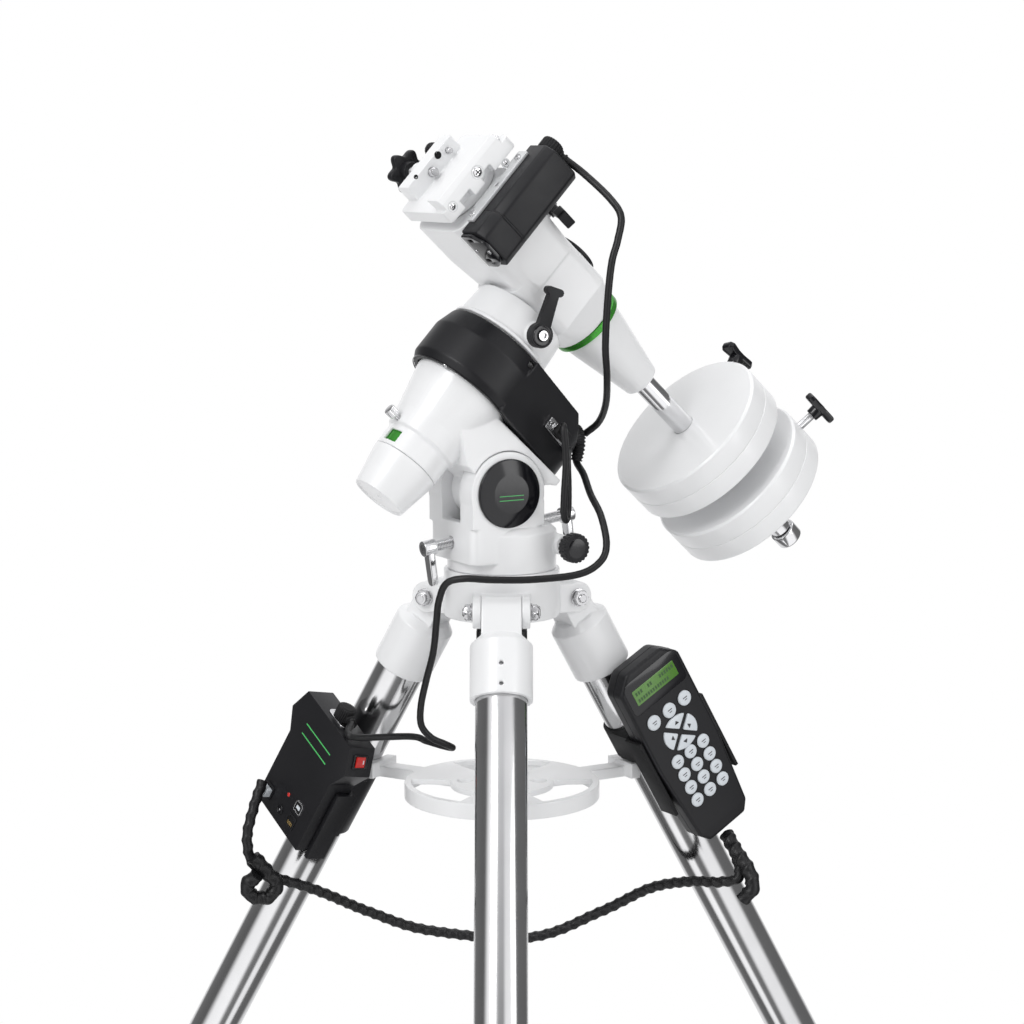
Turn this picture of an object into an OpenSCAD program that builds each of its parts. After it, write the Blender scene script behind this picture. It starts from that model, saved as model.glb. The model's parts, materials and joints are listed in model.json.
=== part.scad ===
// Motorised German equatorial mount on a three-legged steel tripod.
// Millimetres, +Z up, origin on the floor under the azimuth axis.
// The leg that lies under the polar axis points 30 degrees from +X towards +Y.

/* [Setting] */
// Latitude the polar axis is set to at rest
latitude = 47; // [44:1:50]
// Direction of north in the plan, from +X towards +Y
north_dir = 30; // [30]

/* [Tripod] */
// Height of the leg hinges above the floor with the legs closed up
hinge_z = 668; // [655:1:680]
// Distance of each leg hinge from the azimuth axis
hinge_r = 64; // [62:1:66]
// Angle between each leg and the vertical
leg_splay = 30; // [28:1:31]
// Outside diameter of the upper leg tubes (1.75 inch)
tube_d = 44.45; // [44.45]
// Outside diameter of the lower leg tubes
inner_tube_d = 38; // [36:0.5:39]
// Wall of every leg tube
tube_wall = 1.5; // [1.2:0.1:2]
// Radius of the hub casting
hub_r = 51; // [50:1:52]
// Outside radius of the accessory tray's ring
tray_r = 87; // [84:1:89]

/* [Mount head] */
// Altitude axis, north of the azimuth axis
alt_n = -16; // [-18:1:-14]
// Altitude axis above the floor
alt_z = 768; // [766:1:770]
// Crossing of the two axes from the altitude axis, along the polar axis
cross_p = 173; // [172:1:175]
// Crossing of the two axes from the altitude axis, across the polar axis
cross_q = 76; // [75:1:78]
// Lug arm, from the altitude axis to the thrust point of the altitude screws
lug_arm = 40; // [39:1:41]
// Upward tilt of the altitude screws towards north
screw_tilt = 8; // [7:1:9]
// Azimuth peg, north of the azimuth axis
peg_n = 38; // [37:1:39]

/* [Declination axis] */
// Half width of the declination housing
housing_half = 42; // [41:1:43]
// Top of the declination housing from the crossing
housing_top = 112; // [110:1:114]
// Diameter of the counterweight shaft
bar_d = 20; // [20]
// Lower end of the counterweight shaft from the crossing
bar_end = 348; // [346:1:356]
// Radius of the counterweights
weight_r = 77.5; // [76:0.5:79]
// Thickness of the counterweights
weight_h = 40; // [38:1:42]
// Top face of the upper counterweight from the crossing
weight_1 = 197; // [194:1:199]
// Top face of the lower counterweight from the crossing
weight_2 = 261; // [259:1:265]

/* [Saddle] */
// Width of the dovetail slot between the jaws at its floor
slot_w = 46; // [45:0.5:47]
// Length of the saddle along the slot
saddle_len = 90; // [86:1:94]

/* [Electronics] */
// Control box: length along the leg, width, depth
control_size = [119, 79, 28]; // [28:1:120]
// Hand controller: length along the leg, width, depth
handset_size = [188, 72, 26]; // [20:1:190]

/* [Hidden] */

$fn = 48;
gap = 0.05;             // radial running clearance
hair = 0.02;            // clearance between stacked faces
tube_top = -46;         // upper tube's top end, along the leg from its hinge
tube_end = -610;        // upper tube's bottom end
clamp_top = -572;       // leg clamp's top face
clamp_end = -634;       // leg clamp's bottom face
inner_top = -62;        // lower tube's top end
foot_top = -742;        // lower tube's bottom end, where the foot starts
leg_length = hinge_z / cos(leg_splay);
knob_z = -612;          // leg clamp screw, along the leg
hub_bottom = hinge_z - 13;
hub_top = hinge_z + 29;
base_bottom = hub_top + hair;
rod_r = 6;              // central lock rod
tray_z = hinge_z - 169;
arm_reach = hinge_r + (hinge_z - tray_z) * tan(leg_splay) - tube_d / 2 / cos(leg_splay);
cross_n = alt_n + cross_p * cos(latitude) - cross_q * sin(latitude);
cross_z = alt_z + cross_p * sin(latitude) + cross_q * cos(latitude);
ear_r = 36;             // fork ears, round the altitude axis
ear_in = 16.2;          // inner face of each fork ear
ear_out = 40;           // outer face of each fork ear
tower_n0 = alt_n - 35;
tower_n1 = alt_n + 38;
wheel_r = 36;           // pitch radius of the right ascension wheel
dec_wheel_r = 28;       // pitch radius of the declination wheel
worm_r = 6;             // pitch radius of both worms
worm_gap = wheel_r + worm_r + 0.75;
dec_worm_gap = dec_wheel_r + worm_r + 0.75;
ra_wheel_p = -100;      // right ascension wheel, along the polar axis
dec_wheel_q = 94;       // declination wheel, along the declination axis
ra_split = -73;         // joint face between the fixed and the turning half of the head
leg_dirs = [-90, 30, 150];
white = [0.93, 0.93, 0.94];
steel = [0.72, 0.73, 0.75];
black = [0.07, 0.07, 0.08];
green = [0.2, 0.62, 0.15];

// ---------- places ----------
module on_leg(dir) rotate([0, 0, dir]) translate([hinge_r, 0, hinge_z]) rotate([0, -leg_splay, 0]) children();
module at_head() rotate([0, 0, north_dir]) children();
module at_altitude() at_head() translate([alt_n, 0, alt_z]) children();
module at_cross() at_head() translate([cross_n, 0, cross_z]) rotate([0, -latitude, 0]) children();
module at_azimuth_screw() at_head() translate([peg_n, 0, base_bottom + 22]) children();
module at_tilt_screw() at_altitude() rotate([0, -screw_tilt, 0]) translate([0, 0, -lug_arm]) children();

// ---------- shared shapes ----------
// Cylinder along +X from x0 to x1
module rod_x(r, x0, x1) {
    translate([x0, 0, 0]) rotate([0, 90, 0]) cylinder(r = r, h = x1 - x0);
}

// Cylinder along Y from y0 to y1
module rod_y(r, y0, y1) {
    translate([0, y1, 0])
        rotate([90, 0, 0])
            cylinder(r = r, h = y1 - y0);
}

// Solid of revolution about +X from an outline of [r, x] points
module turned_x(outline) rotate([0, 90, 0]) rotate_extrude($fn = 72) polygon(outline);

// Solid of revolution about +Z from an outline of [r, z] points
module turned_z(outline) rotate_extrude($fn = 72) polygon(outline);

// Tube about +Z
module pipe_z(r_out, r_in, z0, z1) {
    translate([0, 0, z0])
        difference() {
            cylinder(r = r_out, h = z1 - z0);
            translate([0, 0, -1]) cylinder(r = r_in, h = z1 - z0 + 2);
        }
}

// Outline of a rectangle with rounded corners, from circles and two crossed bars
module rounded_rect(x0, x1, y0, y1, r) {
    translate([x0 + r, y0]) square([x1 - x0 - 2 * r, y1 - y0]);
    translate([x0, y0 + r]) square([x1 - x0, y1 - y0 - 2 * r]);
    for (x = [x0 + r, x1 - r], y = [y0 + r, y1 - r]) translate([x, y]) circle(r = r, $fn = 32);
}

// Block with upright rounded edges
module rounded_block(x0, x1, y0, y1, z0, z1, r) {
    translate([0, 0, z0]) linear_extrude(z1 - z0) rounded_rect(x0, x1, y0, y1, r);
}

// Lobed hand knob outline: a disc with round lobes
module lobes(n, r_body, r_lobe, r_at) {
    circle(r = r_body);
    for (i = [0:n - 1]) rotate(i * 360 / n) translate([r_at, 0]) circle(r = r_lobe, $fn = 24);
}

// Star knob on a round screw along +Z, knob above z = 0
module star_screw(screw_r, screw_len, knob_r, knob_h, n = 6) {
    translate([0, 0, -screw_len]) cylinder(r = screw_r, h = screw_len + 1);
    cylinder(r = knob_r * 0.5, h = knob_h * 0.4);
    translate([0, 0, knob_h * 0.4])
        linear_extrude(knob_h * 0.6) lobes(n, knob_r * 0.72, knob_r * 0.24, knob_r * 0.76);
}

// T knob on a round screw along +Z, with its wings along X
module wing_screw(screw_r, screw_len, knob_r, knob_h) {
    translate([0, 0, -screw_len]) cylinder(r = screw_r, h = screw_len + 1);
    cylinder(r1 = knob_r * 0.36, r2 = knob_r * 0.42, h = knob_h * 0.6);
    translate([0, 0, knob_h * 0.45])
        linear_extrude(knob_h * 0.55) {
            circle(r = knob_r * 0.45);
            square([knob_r * 1.4, knob_r * 0.5], center = true);
            for (x = [-1, 1]) translate([x * knob_r * 0.7, 0]) circle(r = knob_r * 0.3, $fn = 24);
        }
}

// Worm wheel about +Z, centred on z = 0, drawn at its root radius with a tooth groove all round
module worm_wheel(r, bore) {
    turned_z([[bore, -7], [r - 3, -7], [r, -5], [r - 0.6, 0], [r, 5], [r - 3, 7], [bore, 7]]);
}

// Worm along +X, centred on x = 0, on a stepped shaft
module worm(shaft_r, x0, x1) {
    rod_x(worm_r, -12, 12);
    rod_x(shaft_r, x0, x1);
}

// ---------- soft cable ----------
// Point t (0 to 1) on a smooth curve through a list of points
function lerp(a, b, t) = a + (b - a) * t;
function knot(pts, i) = pts[min(max(i, 0), len(pts) - 1)];
function spline(pts, i, t) =
    0.5 * (2 * knot(pts, i)
        + (knot(pts, i + 1) - knot(pts, i - 1)) * t
        + (2 * knot(pts, i - 1) - 5 * knot(pts, i) + 4 * knot(pts, i + 1) - knot(pts, i + 2)) * t * t
        + (3 * knot(pts, i) - knot(pts, i - 1) - 3 * knot(pts, i + 1) + knot(pts, i + 2)) * t * t * t);
function path(pts, steps) = [
    for (i = [0:len(pts) - 2], k = [0:steps - 1]) spline(pts, i, k / steps),
    pts[len(pts) - 1]
];
function unit(v) = v / norm(v);
function side_of(d) = unit(cross(d, abs(d[2]) < 0.8 * norm(d) ? [0, 0, 1] : [0.6, 0.8, 0]));
// Side vector carried along the path with no twist
function carried(dirs, i) = i == 0 ? side_of(dirs[0]) : carry(carried(dirs, i - 1), dirs[i]);
function carry(s, d) = unit(s - d * (s * d));

module cable(pts, r, steps = 5, sides = 8) {
    line = path(pts, steps);
    last = len(line) - 1;
    dirs = [for (i = [0:last]) unit(line[min(i + 1, last)] - line[max(i - 1, 0)])];
    rings = [
        for (i = [0:last])
            let (s = carried(dirs, i), u = cross(dirs[i], s))
                for (k = [0:sides - 1])
                    line[i] + r * (s * cos(k * 360 / sides) + u * sin(k * 360 / sides))
    ];
    walls = [
        for (i = [0:last - 1], k = [0:sides - 1])
            let (a = i * sides + k, b = i * sides + (k + 1) % sides)
                [a, b, b + sides, a + sides]
    ];
    start_cap = [for (k = [sides - 1:-1:0]) k];
    end_cap = [for (k = [0:sides - 1]) last * sides + k];
    polyhedron(rings, concat(walls, [start_cap, end_cap]), convexity = 6);
}

// Points given in the frames of the head, of a leg and of the axes' crossing, carried to the row frame
function turn_z(v, a) = [v[0] * cos(a) - v[1] * sin(a), v[0] * sin(a) + v[1] * cos(a), v[2]];
function turn_y(v, a) = [v[0] * cos(a) + v[2] * sin(a), v[1], -v[0] * sin(a) + v[2] * cos(a)];
function head_point(n, f, z) = turn_z([n, f, z], north_dir);
function cross_point(p, f, q) = turn_z(turn_y([p, f, q], -latitude) + [cross_n, 0, cross_z], north_dir);
function leg_point(dir, v) = turn_z(turn_y(v, -leg_splay) + [hinge_r, 0, hinge_z], dir);

// ---------- tripod ----------
ear_half = 24.75;       // half width over the hinge ears
tongue_half = 17.3;     // half width of the leg casting's tongue
ear_round = 14;         // ears, round the hinge axis

module tripod_hub() color(white) {
    difference() {
        union() {
            translate([0, 0, hub_bottom]) cylinder(r = hub_r, h = hub_top - hub_bottom, $fn = 96);
            for (d = leg_dirs)
                rotate([0, 0, d]) {
                    translate([hinge_r, 0, hinge_z]) rod_y(ear_round, -ear_half, ear_half);
                    translate([hub_r * 0.7, -ear_half, hinge_z - ear_round + 1])
                        cube([hinge_r - hub_r * 0.7, 2 * ear_half, 2 * ear_round - 2]);
                }
        }
        // slots that the leg tongues swing in
        for (d = leg_dirs)
            rotate([0, 0, d]) {
                translate([hinge_r, 0, hinge_z]) rod_y(ear_round + 2, -tongue_half - 0.2, tongue_half + 0.2);
                translate([hinge_r - ear_round - 2, -tongue_half - 0.2, hub_bottom - 5])
                    cube([40, 2 * tongue_half + 0.4, hinge_z - hub_bottom + 5]);
                translate([hinge_r, 0, hinge_z]) rod_y(4 + gap, -40, 40);
            }
        // central bore, cored underside and the seat of the azimuth peg
        translate([0, 0, hub_bottom - 1]) cylinder(r = rod_r + gap, h = 60);
        difference() {
            translate([0, 0, hub_bottom - 1]) cylinder(r = 38, h = 19);
            translate([0, 0, hub_bottom - 2]) cylinder(r = 13, h = 30);
            for (d = leg_dirs)
                rotate([0, 0, d])
                    translate([hinge_r - ear_round - 6, -30, hub_bottom - 2]) cube([30, 60, 40]);
        }
    }
    at_head() translate([peg_n, 0, hub_top - 1]) cylinder(r = 6, h = 30);
}

// Three hinge bolts with a head, a washer and a lock nut each
module hinge_bolts() color(steel) {
    for (d = leg_dirs)
        rotate([0, 0, d])
            translate([hinge_r, 0, hinge_z]) {
                rod_y(4, -ear_half - 9, ear_half + 9);
                for (s = [-1, 1]) {
                    mirror([0, s < 0 ? 1 : 0, 0]) {
                        rod_y(8, ear_half + hair, ear_half + 1.5);
                        translate([0, ear_half + 8, 0])
                            rotate([90, 0, 0]) cylinder(r = 7.5, h = 6.5, $fn = 6);
                    }
                }
            }
}

// Central rod that draws the mount down on the hub, with its knob
module lock_rod() {
    color(steel) translate([0, 0, tray_z - 48]) cylinder(r = rod_r, h = base_bottom + 14 - tray_z + 48);
    color(black)
        translate([0, 0, hub_bottom - 26])
            difference() {
                union() {
                    cylinder(r = 14, h = 24);
                    linear_extrude(15) lobes(6, 20, 5, 20);
                }
                translate([0, 0, -1]) cylinder(r = rod_r + gap, h = 40);
            }
}

// Spreader tray: ring, hub, three arms and three open windows
module accessory_tray() color(white) {
    plate = 5;
    difference() {
        union() {
            translate([0, 0, tray_z]) cylinder(r = tray_r, h = plate, $fn = 96);
            translate([0, 0, tray_z - 9]) pipe_z(tray_r, tray_r - 4, 0, 10);
            translate([0, 0, tray_z - 12]) cylinder(r = 17, h = 17);
            for (d = leg_dirs)
                rotate([0, 0, d]) {
                    translate([10, -9, tray_z - 5]) cube([arm_reach - 16, 18, 10]);
                    // cradle that bears on the inner face of the leg
                    translate([arm_reach - 12, -20, tray_z - 5]) cube([10, 40, 14]);
                }
        }
        translate([0, 0, tray_z - 20]) cylinder(r = rod_r + 0.3, h = 60);
        for (d = leg_dirs) on_leg(d) translate([0, 0, -300]) cylinder(r = tube_d / 2 + 0.1, h = 250);
        for (d = leg_dirs)
            rotate([0, 0, d]) {
                // crescent windows between the arms
                rotate([0, 0, 60])
                    translate([0, 0, tray_z - 20])
                        linear_extrude(60)
                            difference() {
                                intersection() {
                                    circle(r = tray_r - 6.5, $fn = 96);
                                    polygon([[0, 0], [150, -100], [150, 100]]);
                                }
                                circle(r = 46);
                            }
                // round eyepiece holes, clear of the arms
                for (s = [-1, 1])
                    rotate([0, 0, s * 30]) translate([33, 0, tray_z - 20]) cylinder(r = 7, h = 60);
            }
    }
}

// Knob that holds the tray up against the legs
module tray_knob() color(black) {
    difference() {
        translate([0, 0, tray_z - 32])
            union() {
                cylinder(r = 12, h = 19.9);
                linear_extrude(13) lobes(6, 18, 4.5, 18);
            }
        translate([0, 0, tray_z - 60]) cylinder(r = rod_r + gap, h = 80);
    }
}

module leg_casting(dir) color(white) {
    on_leg(dir) {
        difference() {
            union() {
                rod_y(ear_round, -tongue_half, tongue_half);
                translate([-ear_round, -tongue_half, -42]) cube([2 * ear_round, 2 * tongue_half, 42]);
                translate([0, 0, -80]) cylinder(r = 27, h = 49);
                translate([0, 0, -31]) cylinder(r1 = 27, r2 = 20, h = 7);
            }
            rod_y(4 + gap, -40, 40);
            translate([0, 0, -100]) cylinder(r = tube_d / 2 + gap, h = 100 + tube_top + hair);
            translate([0, 0, -100]) cylinder(r = 17, h = 72);
            // two small fixing holes on the outer face
            for (z = [-54, -72]) translate([0, 0, z]) rod_x(2, 21, 40);
        }
    }
}

module upper_tube(dir) color(steel) {
    on_leg(dir) pipe_z(tube_d / 2, tube_d / 2 - tube_wall, tube_end, tube_top);
}

module leg_clamp(dir) color(black) {
    on_leg(dir)
        difference() {
            union() {
                translate([0, 0, clamp_end]) cylinder(r = 27, h = clamp_top - clamp_end);
                translate([0, 0, clamp_end]) cylinder(r = 29, h = 8);
                translate([18, -9, knob_z - 11]) cube([16, 18, 22]);
            }
            translate([0, 0, tube_end - hair]) cylinder(r = tube_d / 2 + gap, h = 100);
            translate([0, 0, clamp_end - 1]) cylinder(r = inner_tube_d / 2 + gap, h = 200);
            translate([0, 0, knob_z - 6]) rod_x(4 + gap, 15, 60);
        }
}

// Sliding tube with its moulded foot, cut level with the floor
module lower_leg(dir) {
    buried = 30;
    color(steel)
        on_leg(dir) pipe_z(inner_tube_d / 2, inner_tube_d / 2 - tube_wall, foot_top, inner_top);
    color(black)
        difference() {
            on_leg(dir) {
                translate([0, 0, -leg_length - buried])
                    cylinder(r = inner_tube_d / 2 + 2, h = leg_length + buried + foot_top - hair);
                translate([0, 0, foot_top - 1]) cylinder(r = inner_tube_d / 2 - tube_wall - gap, h = 30);
            }
            rotate([0, 0, dir]) translate([200, -200, -200]) cube([400, 400, 200]);
        }
}

module leg_knob(dir) {
    color(black)
        on_leg(dir) translate([36, 0, knob_z - 6]) rotate([0, 90, 0]) wing_screw(4, 16, 17, 20);
}

// ---------- azimuth base and fork ----------
module base_casting() color(white) {
    screw_z = base_bottom + 22;
    difference() {
        union() {
            at_head() {
                // round skirt that turns on the hub
                translate([0, 0, base_bottom]) cylinder(r = 48, h = 34, $fn = 96);
                translate([0, 0, base_bottom + 34]) cylinder(r1 = 48, r2 = 42, h = 5, $fn = 96);
                // square tower that carries the fork ears
                rounded_block(tower_n0, tower_n1 - 2, -ear_out, ear_out, base_bottom + 10, alt_z - 26, 9);
                for (s = [-1, 1])
                    mirror([0, s < 0 ? 1 : 0, 0]) {
                        translate([tower_n0, ear_in, alt_z - 30])
                            cube([tower_n1 - 2 - tower_n0, ear_out - ear_in, 22]);
                        translate([alt_n, 0, alt_z]) rod_y(ear_r, ear_in, ear_out);
                        translate([tower_n0, ear_in, alt_z - 9]) cube([20, ear_out - ear_in, 9]);
                        // bosses of the azimuth screws
                        translate([peg_n, 0, screw_z]) rod_y(9, 22, 44.5);
                    }
            }
            at_tilt_screw() rod_x(8, -38, 41);
        }
        at_head() {
            // cavity that the lug and the azimuth peg move in
            translate([0, 0, base_bottom + 8])
                linear_extrude(200) rounded_rect(alt_n - 25, alt_n + 27, -ear_in, ear_in, 3);
            translate([peg_n - 12, -14, base_bottom - 1]) cube([18.6, 28, 36]);
            translate([tower_n0 - 5, -ear_in, alt_z - 24]) cube([140, 2 * ear_in, 100]);
            translate([0, 0, base_bottom - 1]) cylinder(r = rod_r + gap, h = 60);
            translate([alt_n, 0, alt_z]) rod_y(6 + gap, -60, 60);
            translate([peg_n, 0, screw_z]) rod_y(4 + gap, -60, 60);
        }
        at_tilt_screw() rod_x(5 + gap, -60, 70);
    }
}

// Altitude bolt with a screwed-on cap disc at each end
module altitude_pivot() {
    color(steel) at_altitude() rod_y(6, -ear_out - 3, ear_out + 3);
    color(black)
        at_altitude()
            for (a = [90, -90])
                rotate([a, 0, 0])
                    turned_z([
                        [6 + hair, ear_out + hair], [30, ear_out + hair], [30, ear_out + 3],
                        [17, ear_out + 5.5], [0, ear_out + 5.5], [0, ear_out + 3 + hair],
                        [6 + hair, ear_out + 3 + hair]
                    ]);
}

// Both azimuth screws' threaded rods, which bear on the peg
module azimuth_studs() color(steel) {
    at_azimuth_screw()
        for (s = [-1, 1]) mirror([0, s < 0 ? 1 : 0, 0]) rod_y(4, 6.15, 57);
}

// Knurled head: a wheel with flutes round it
module fluted(r, h, flutes) {
    linear_extrude(h)
        difference() {
            circle(r = r);
            for (i = [0:flutes - 1])
                rotate(i * 360 / flutes) translate([r + 0.6, 0]) circle(r = 1.3, $fn = 16);
        }
}

module azimuth_knobs() color(black) {
    at_azimuth_screw()
        for (a = [90, -90])
            rotate([a, 0, 0])
                difference() {
                    union() {
                        translate([0, 0, 54]) fluted(13, 11, 20);
                        translate([0, 0, 51]) cylinder(r = 8, h = 4);
                    }
                    translate([0, 0, 40]) cylinder(r = 4 + hair, h = 17 + hair);
                }
}

// Both altitude screws' threaded rods, which bear on the lug
module altitude_studs() color(steel) {
    at_tilt_screw() {
        rod_x(5, -69, -8.35);
        rod_x(5, 8.35, 83.2);
    }
}

// Flat bar handles clamped on the ends of the altitude screws
module altitude_handles() color(steel) {
    at_tilt_screw()
        for (x = [-69, 71.2])
            translate([x, 0, 0])
                difference() {
                    union() {
                        rod_x(7, 0, 12);
                        translate([3, -5, -29]) cube([6, 10, 25]);
                        translate([3, 0, -29]) rod_x(5, 0, 6);
                    }
                    rod_x(5 + hair, -1, 14);
                }
}

// ---------- fixed half of the polar head ----------
cover_in = 46;          // inner radius of the motor cover's ring

module ra_housing() color(white) {
    at_cross()
        difference() {
            union() {
                turned_x([
                    [0, -208], [31, -208], [31, -188], [34, -186], [36, -170], [45, -130],
                    [45, -118], [44, -116], [44, ra_split - 0.3], [0, ra_split - 0.3]
                ]);
                // saddle block over the fork ears
                rotate([90, 0, 0])
                    translate([0, 0, -38])
                        linear_extrude(76)
                            polygon([
                                [-131, 0], [-131, -110], [-137, -110], [-141, -104],
                                [-181, -63], [-181, -30], [-160, 0]
                            ]);
                // lug between the ears
                translate([-cross_p, 0, -cross_q]) rod_y(26, -ear_in + 0.2, ear_in - 0.2);
            }
            // clearance round the fork ears
            translate([-cross_p, 0, -cross_q])
                for (s = [-1, 1])
                    mirror([0, s < 0 ? 1 : 0, 0]) rod_y(ear_r + 0.6, ear_in - 0.1, 60);
            // altitude bolt bore
            translate([-cross_p, 0, -cross_q]) rod_y(6 + gap, -60, 60);
            // bore of the polar shaft and the chamber of its wheel
            rod_x(17 + gap, -240, 0);
            rod_x(38, ra_wheel_p - 8, ra_wheel_p + 8);
            // chamber of the worm, open downwards
            translate([ra_wheel_p - 9, -28, -60]) cube([18, 56, 40]);
            // window of the date circle
            rod_x(27.9, -220, -190);
            translate([-204, -14, 24]) cube([11, 16, 12]);
            translate([-184, -4, 20]) cylinder(r = 2 + gap, h = 30);
        }
    // thrust arm of the lug
    color(white)
        at_tilt_screw()
            difference() {
                union() {
                    rod_y(8, -12, 12);
                    translate([-5.2, -12, 0]) cube([10.4, 24, lug_arm - 20]);
                }
                translate([0, 0, lug_arm]) rod_y(24, -20, 20);
            }
}

// Black cover round the drive: a ring that runs down into a pocket for the worm and motor
module drop_outline(inset) {
    circle(r = 54 - inset);
    translate([0, -84]) circle(r = 34 - inset);
    polygon([
        [inset - 52.44, -12.86], [52.44 - inset, -12.86], [33.02 - inset, -92.1], [inset - 33.02, -92.1]
    ]);
}

module drop_pocket(inset, side_outline) {
    intersection() {
        rotate([90, 0, 90]) translate([0, 0, -140]) linear_extrude(80) drop_outline(inset);
        rotate([90, 0, 0]) translate([0, 0, -60]) linear_extrude(120) polygon(side_outline);
    }
}

module ra_motor_cover() color(black) {
    at_cross()
        difference() {
            union() {
                turned_x([
                    [0, -129], [50, -129], [54, -122], [54, -92], [49, -75], [0, -75]
                ]);
                drop_pocket(0, [
                    [-129, -15], [-129, -112], [-124, -120], [-103, -119], [-75, -86], [-75, -15]
                ]);
            }
            rod_x(cover_in, -140, -60);
            drop_pocket(3, [
                [-126, -10], [-126, -110], [-121, -117], [-105, -116], [-78, -84], [-78, -10]
            ]);
        }
    // data socket with its bright shell, and the round cable socket
    color(steel)
        at_cross() translate([-103, -37.5, -76]) rotate([13.8, 0, 0]) cube([11, 5, 30], center = true);
    color(black)
        at_cross()
            translate([-90, -14, -103]) rotate([0, 130, 0]) translate([0, 0, -1]) cylinder(r = 9.5, h = 8);
}

module ra_motor() color(steel) {
    at_cross() {
        translate([-103, 0, -86]) rod_y(14, -24, 11);
        translate([-103, 0, -86]) rod_y(3, -28, -23);
        translate([-121, 10, -108]) cube([21, 3, 34]);
    }
}

module ra_worm() color("goldenrod") {
    at_cross() translate([ra_wheel_p, 0, -worm_gap]) rotate([0, 0, 90]) worm(3, -27, 27);
}

// Green date circle, seen through the window of the collar
module date_circle() color(green) {
    at_cross()
        difference() {
            rod_x(27.8, -206, -191);
            rod_x(24, -210, -180);
        }
}

module date_screw() color(steel) {
    at_cross()
        translate([-184, -4, 0]) {
            translate([0, 0, 25]) cylinder(r = 2, h = 16);
            translate([0, 0, 38]) fluted(5, 8, 12);
        }
}

// Cap that covers the lower end of the polar bore
module polar_cap() color(white) {
    at_cross()
        difference() {
            turned_x([
                [24, -244], [24.5, -246], [23.5, -245.5], [0, -244.5], [0, -242], [21.5, -242],
                [27, -212], [27, -208.2], [31, -208.2], [30.6, -212], [24.2, -246]
            ]);
            translate([-245, 0, 0]) sphere(r = 2);
        }
}

// ---------- turning half of the polar head ----------
module ra_shaft() color(steel) {
    at_cross()
        difference() {
            union() {
                rod_x(17, -186, -42);
                translate([ra_wheel_p, 0, 0]) rotate([0, 90, 0]) worm_wheel(wheel_r, 10);
            }
            rod_x(13, -200, 0);
        }
}

module ra_upper_body() color(white) {
    at_cross()
        difference() {
            union() {
                turned_x([
                    [0, ra_split], [48, ra_split], [48, ra_split + 3], [45, ra_split + 4],
                    [44.5, -58], [43, -41], [0, -41]
                ]);
                // boss of the clutch lever
                translate([-57, 0, -1]) rod_y(11, -47, -30);
            }
            rod_x(17 + gap, -100, -42 + gap);
            rod_x(12, -100, 0);
            translate([-57, 0, -1]) rod_y(3 + gap, -60, -30);
        }
}

module dec_housing() color(white) {
    body = housing_half;
    at_cross()
        difference() {
            union() {
                hull() {
                    rounded_block(-body + 1, 32, -body, body, 70, housing_top, 15, $fn = 32);
                    rounded_block(-body + 6, 28, -body + 2, body - 2, 20, 30, 12, $fn = 32);
                }
                hull() {
                    rounded_block(-40.8, 29, -body + 3, body - 3, -24, 34, 12, $fn = 32);
                    translate([-2, 0, -50]) cylinder(r = 32, h = 8);
                }
                // eyepiece boss at the upper end of the polar bore
                rod_x(23.5, 20, 32);
                // boss of the declination clutch lever
                rotate([0, 0, -20]) translate([0, 0, 52]) rod_x(9, 20, 41);
            }
            // polar sight, shaft bore and the chambers of the wheel and the worm
            rod_x(12, -60, 60);
            rod_x(21, 24, 60);
            translate([0, 0, -70]) cylinder(r = 15 + gap, h = 260);
            translate([0, 0, dec_wheel_q - 8]) cylinder(r = dec_wheel_r + 1.2, h = 16);
            translate([-20, -70, dec_wheel_q - 8]) cube([40, 60, 16]);
            translate([0, -dec_worm_gap, dec_wheel_q]) rod_x(3 + gap, -30, 26);
            // lever screw
            rotate([0, 0, -20]) translate([0, 0, 52]) rod_x(3 + gap, 24, 60);
        }
}

// Clutch lever: a round boss, a tapering arm and a cross bar for the fingers
module clutch_lever(arm) {
    cylinder(r = 11, h = 8);
    hull() {
        translate([0, 0, 1]) cylinder(r = 6.5, h = 7, $fn = 32);
        translate([arm - 5, 0, 4]) cylinder(r = 5, h = 6, $fn = 32);
    }
    hull()
        for (y = [-5.5, 5.5]) translate([arm - 2, y, 4]) cylinder(r = 3.5, h = 6, $fn = 32);
    translate([0, 0, -14]) cylinder(r = 3, h = 16);
}

module ra_clutch_lever() color(black) {
    at_cross() translate([-57, -47.1, -1]) rotate([90, -25, 0]) clutch_lever(41);
}

module dec_clutch_lever() color(black) {
    at_cross()
        rotate([0, 0, -20])
            translate([41.1, 0, 52]) rotate([0, 90, 0]) rotate([0, 0, -75]) clutch_lever(30);
}

module front_cap() color(black) {
    at_cross() {
        rod_x(24.5, 32 + hair, 35);
        difference() {
            rod_x(21 - gap, 25, 33);
            rod_x(18, 16, 32);
        }
    }
}

// Sealed declination drive: the moulded box, its grey mounting plate and the motor inside
module dec_motor_box() {
    color(black)
        at_cross()
            difference() {
                rotate([0, 90, 0])
                    translate([0, 0, -41])
                        linear_extrude(99)
                            polygon([
                                [-112, -42.5], [-112, -69], [-106, -75], [-77, -75], [-71, -69], [-71, -42.5]
                            ]);
                translate([-38, -72, 74]) cube([93, 35, 35]);
            }
    color([0.6, 0.6, 0.62])
        at_cross()
            difference() {
                translate([-30, -52, 112 + hair]) cube([78, 16, 3]);
                translate([10, -44, 110]) cylinder(r = 2.2, h = 20);
            }
    color(steel) at_cross() translate([0, -58, 91]) rod_x(13, 4, 50);
    // elbow of the cable plug
    color(black)
        at_cross()
            translate([58 + hair, -55, 101]) {
                rod_x(10, 0, 11);
                translate([7, 0, 0]) rotate([-25, 0, 0]) translate([0, 0, -15]) cylinder(r = 5, h = 15);
            }
}

module dec_worm() color("goldenrod") {
    at_cross() translate([0, -dec_worm_gap, dec_wheel_q]) worm(3, -29, 25);
}

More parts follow.
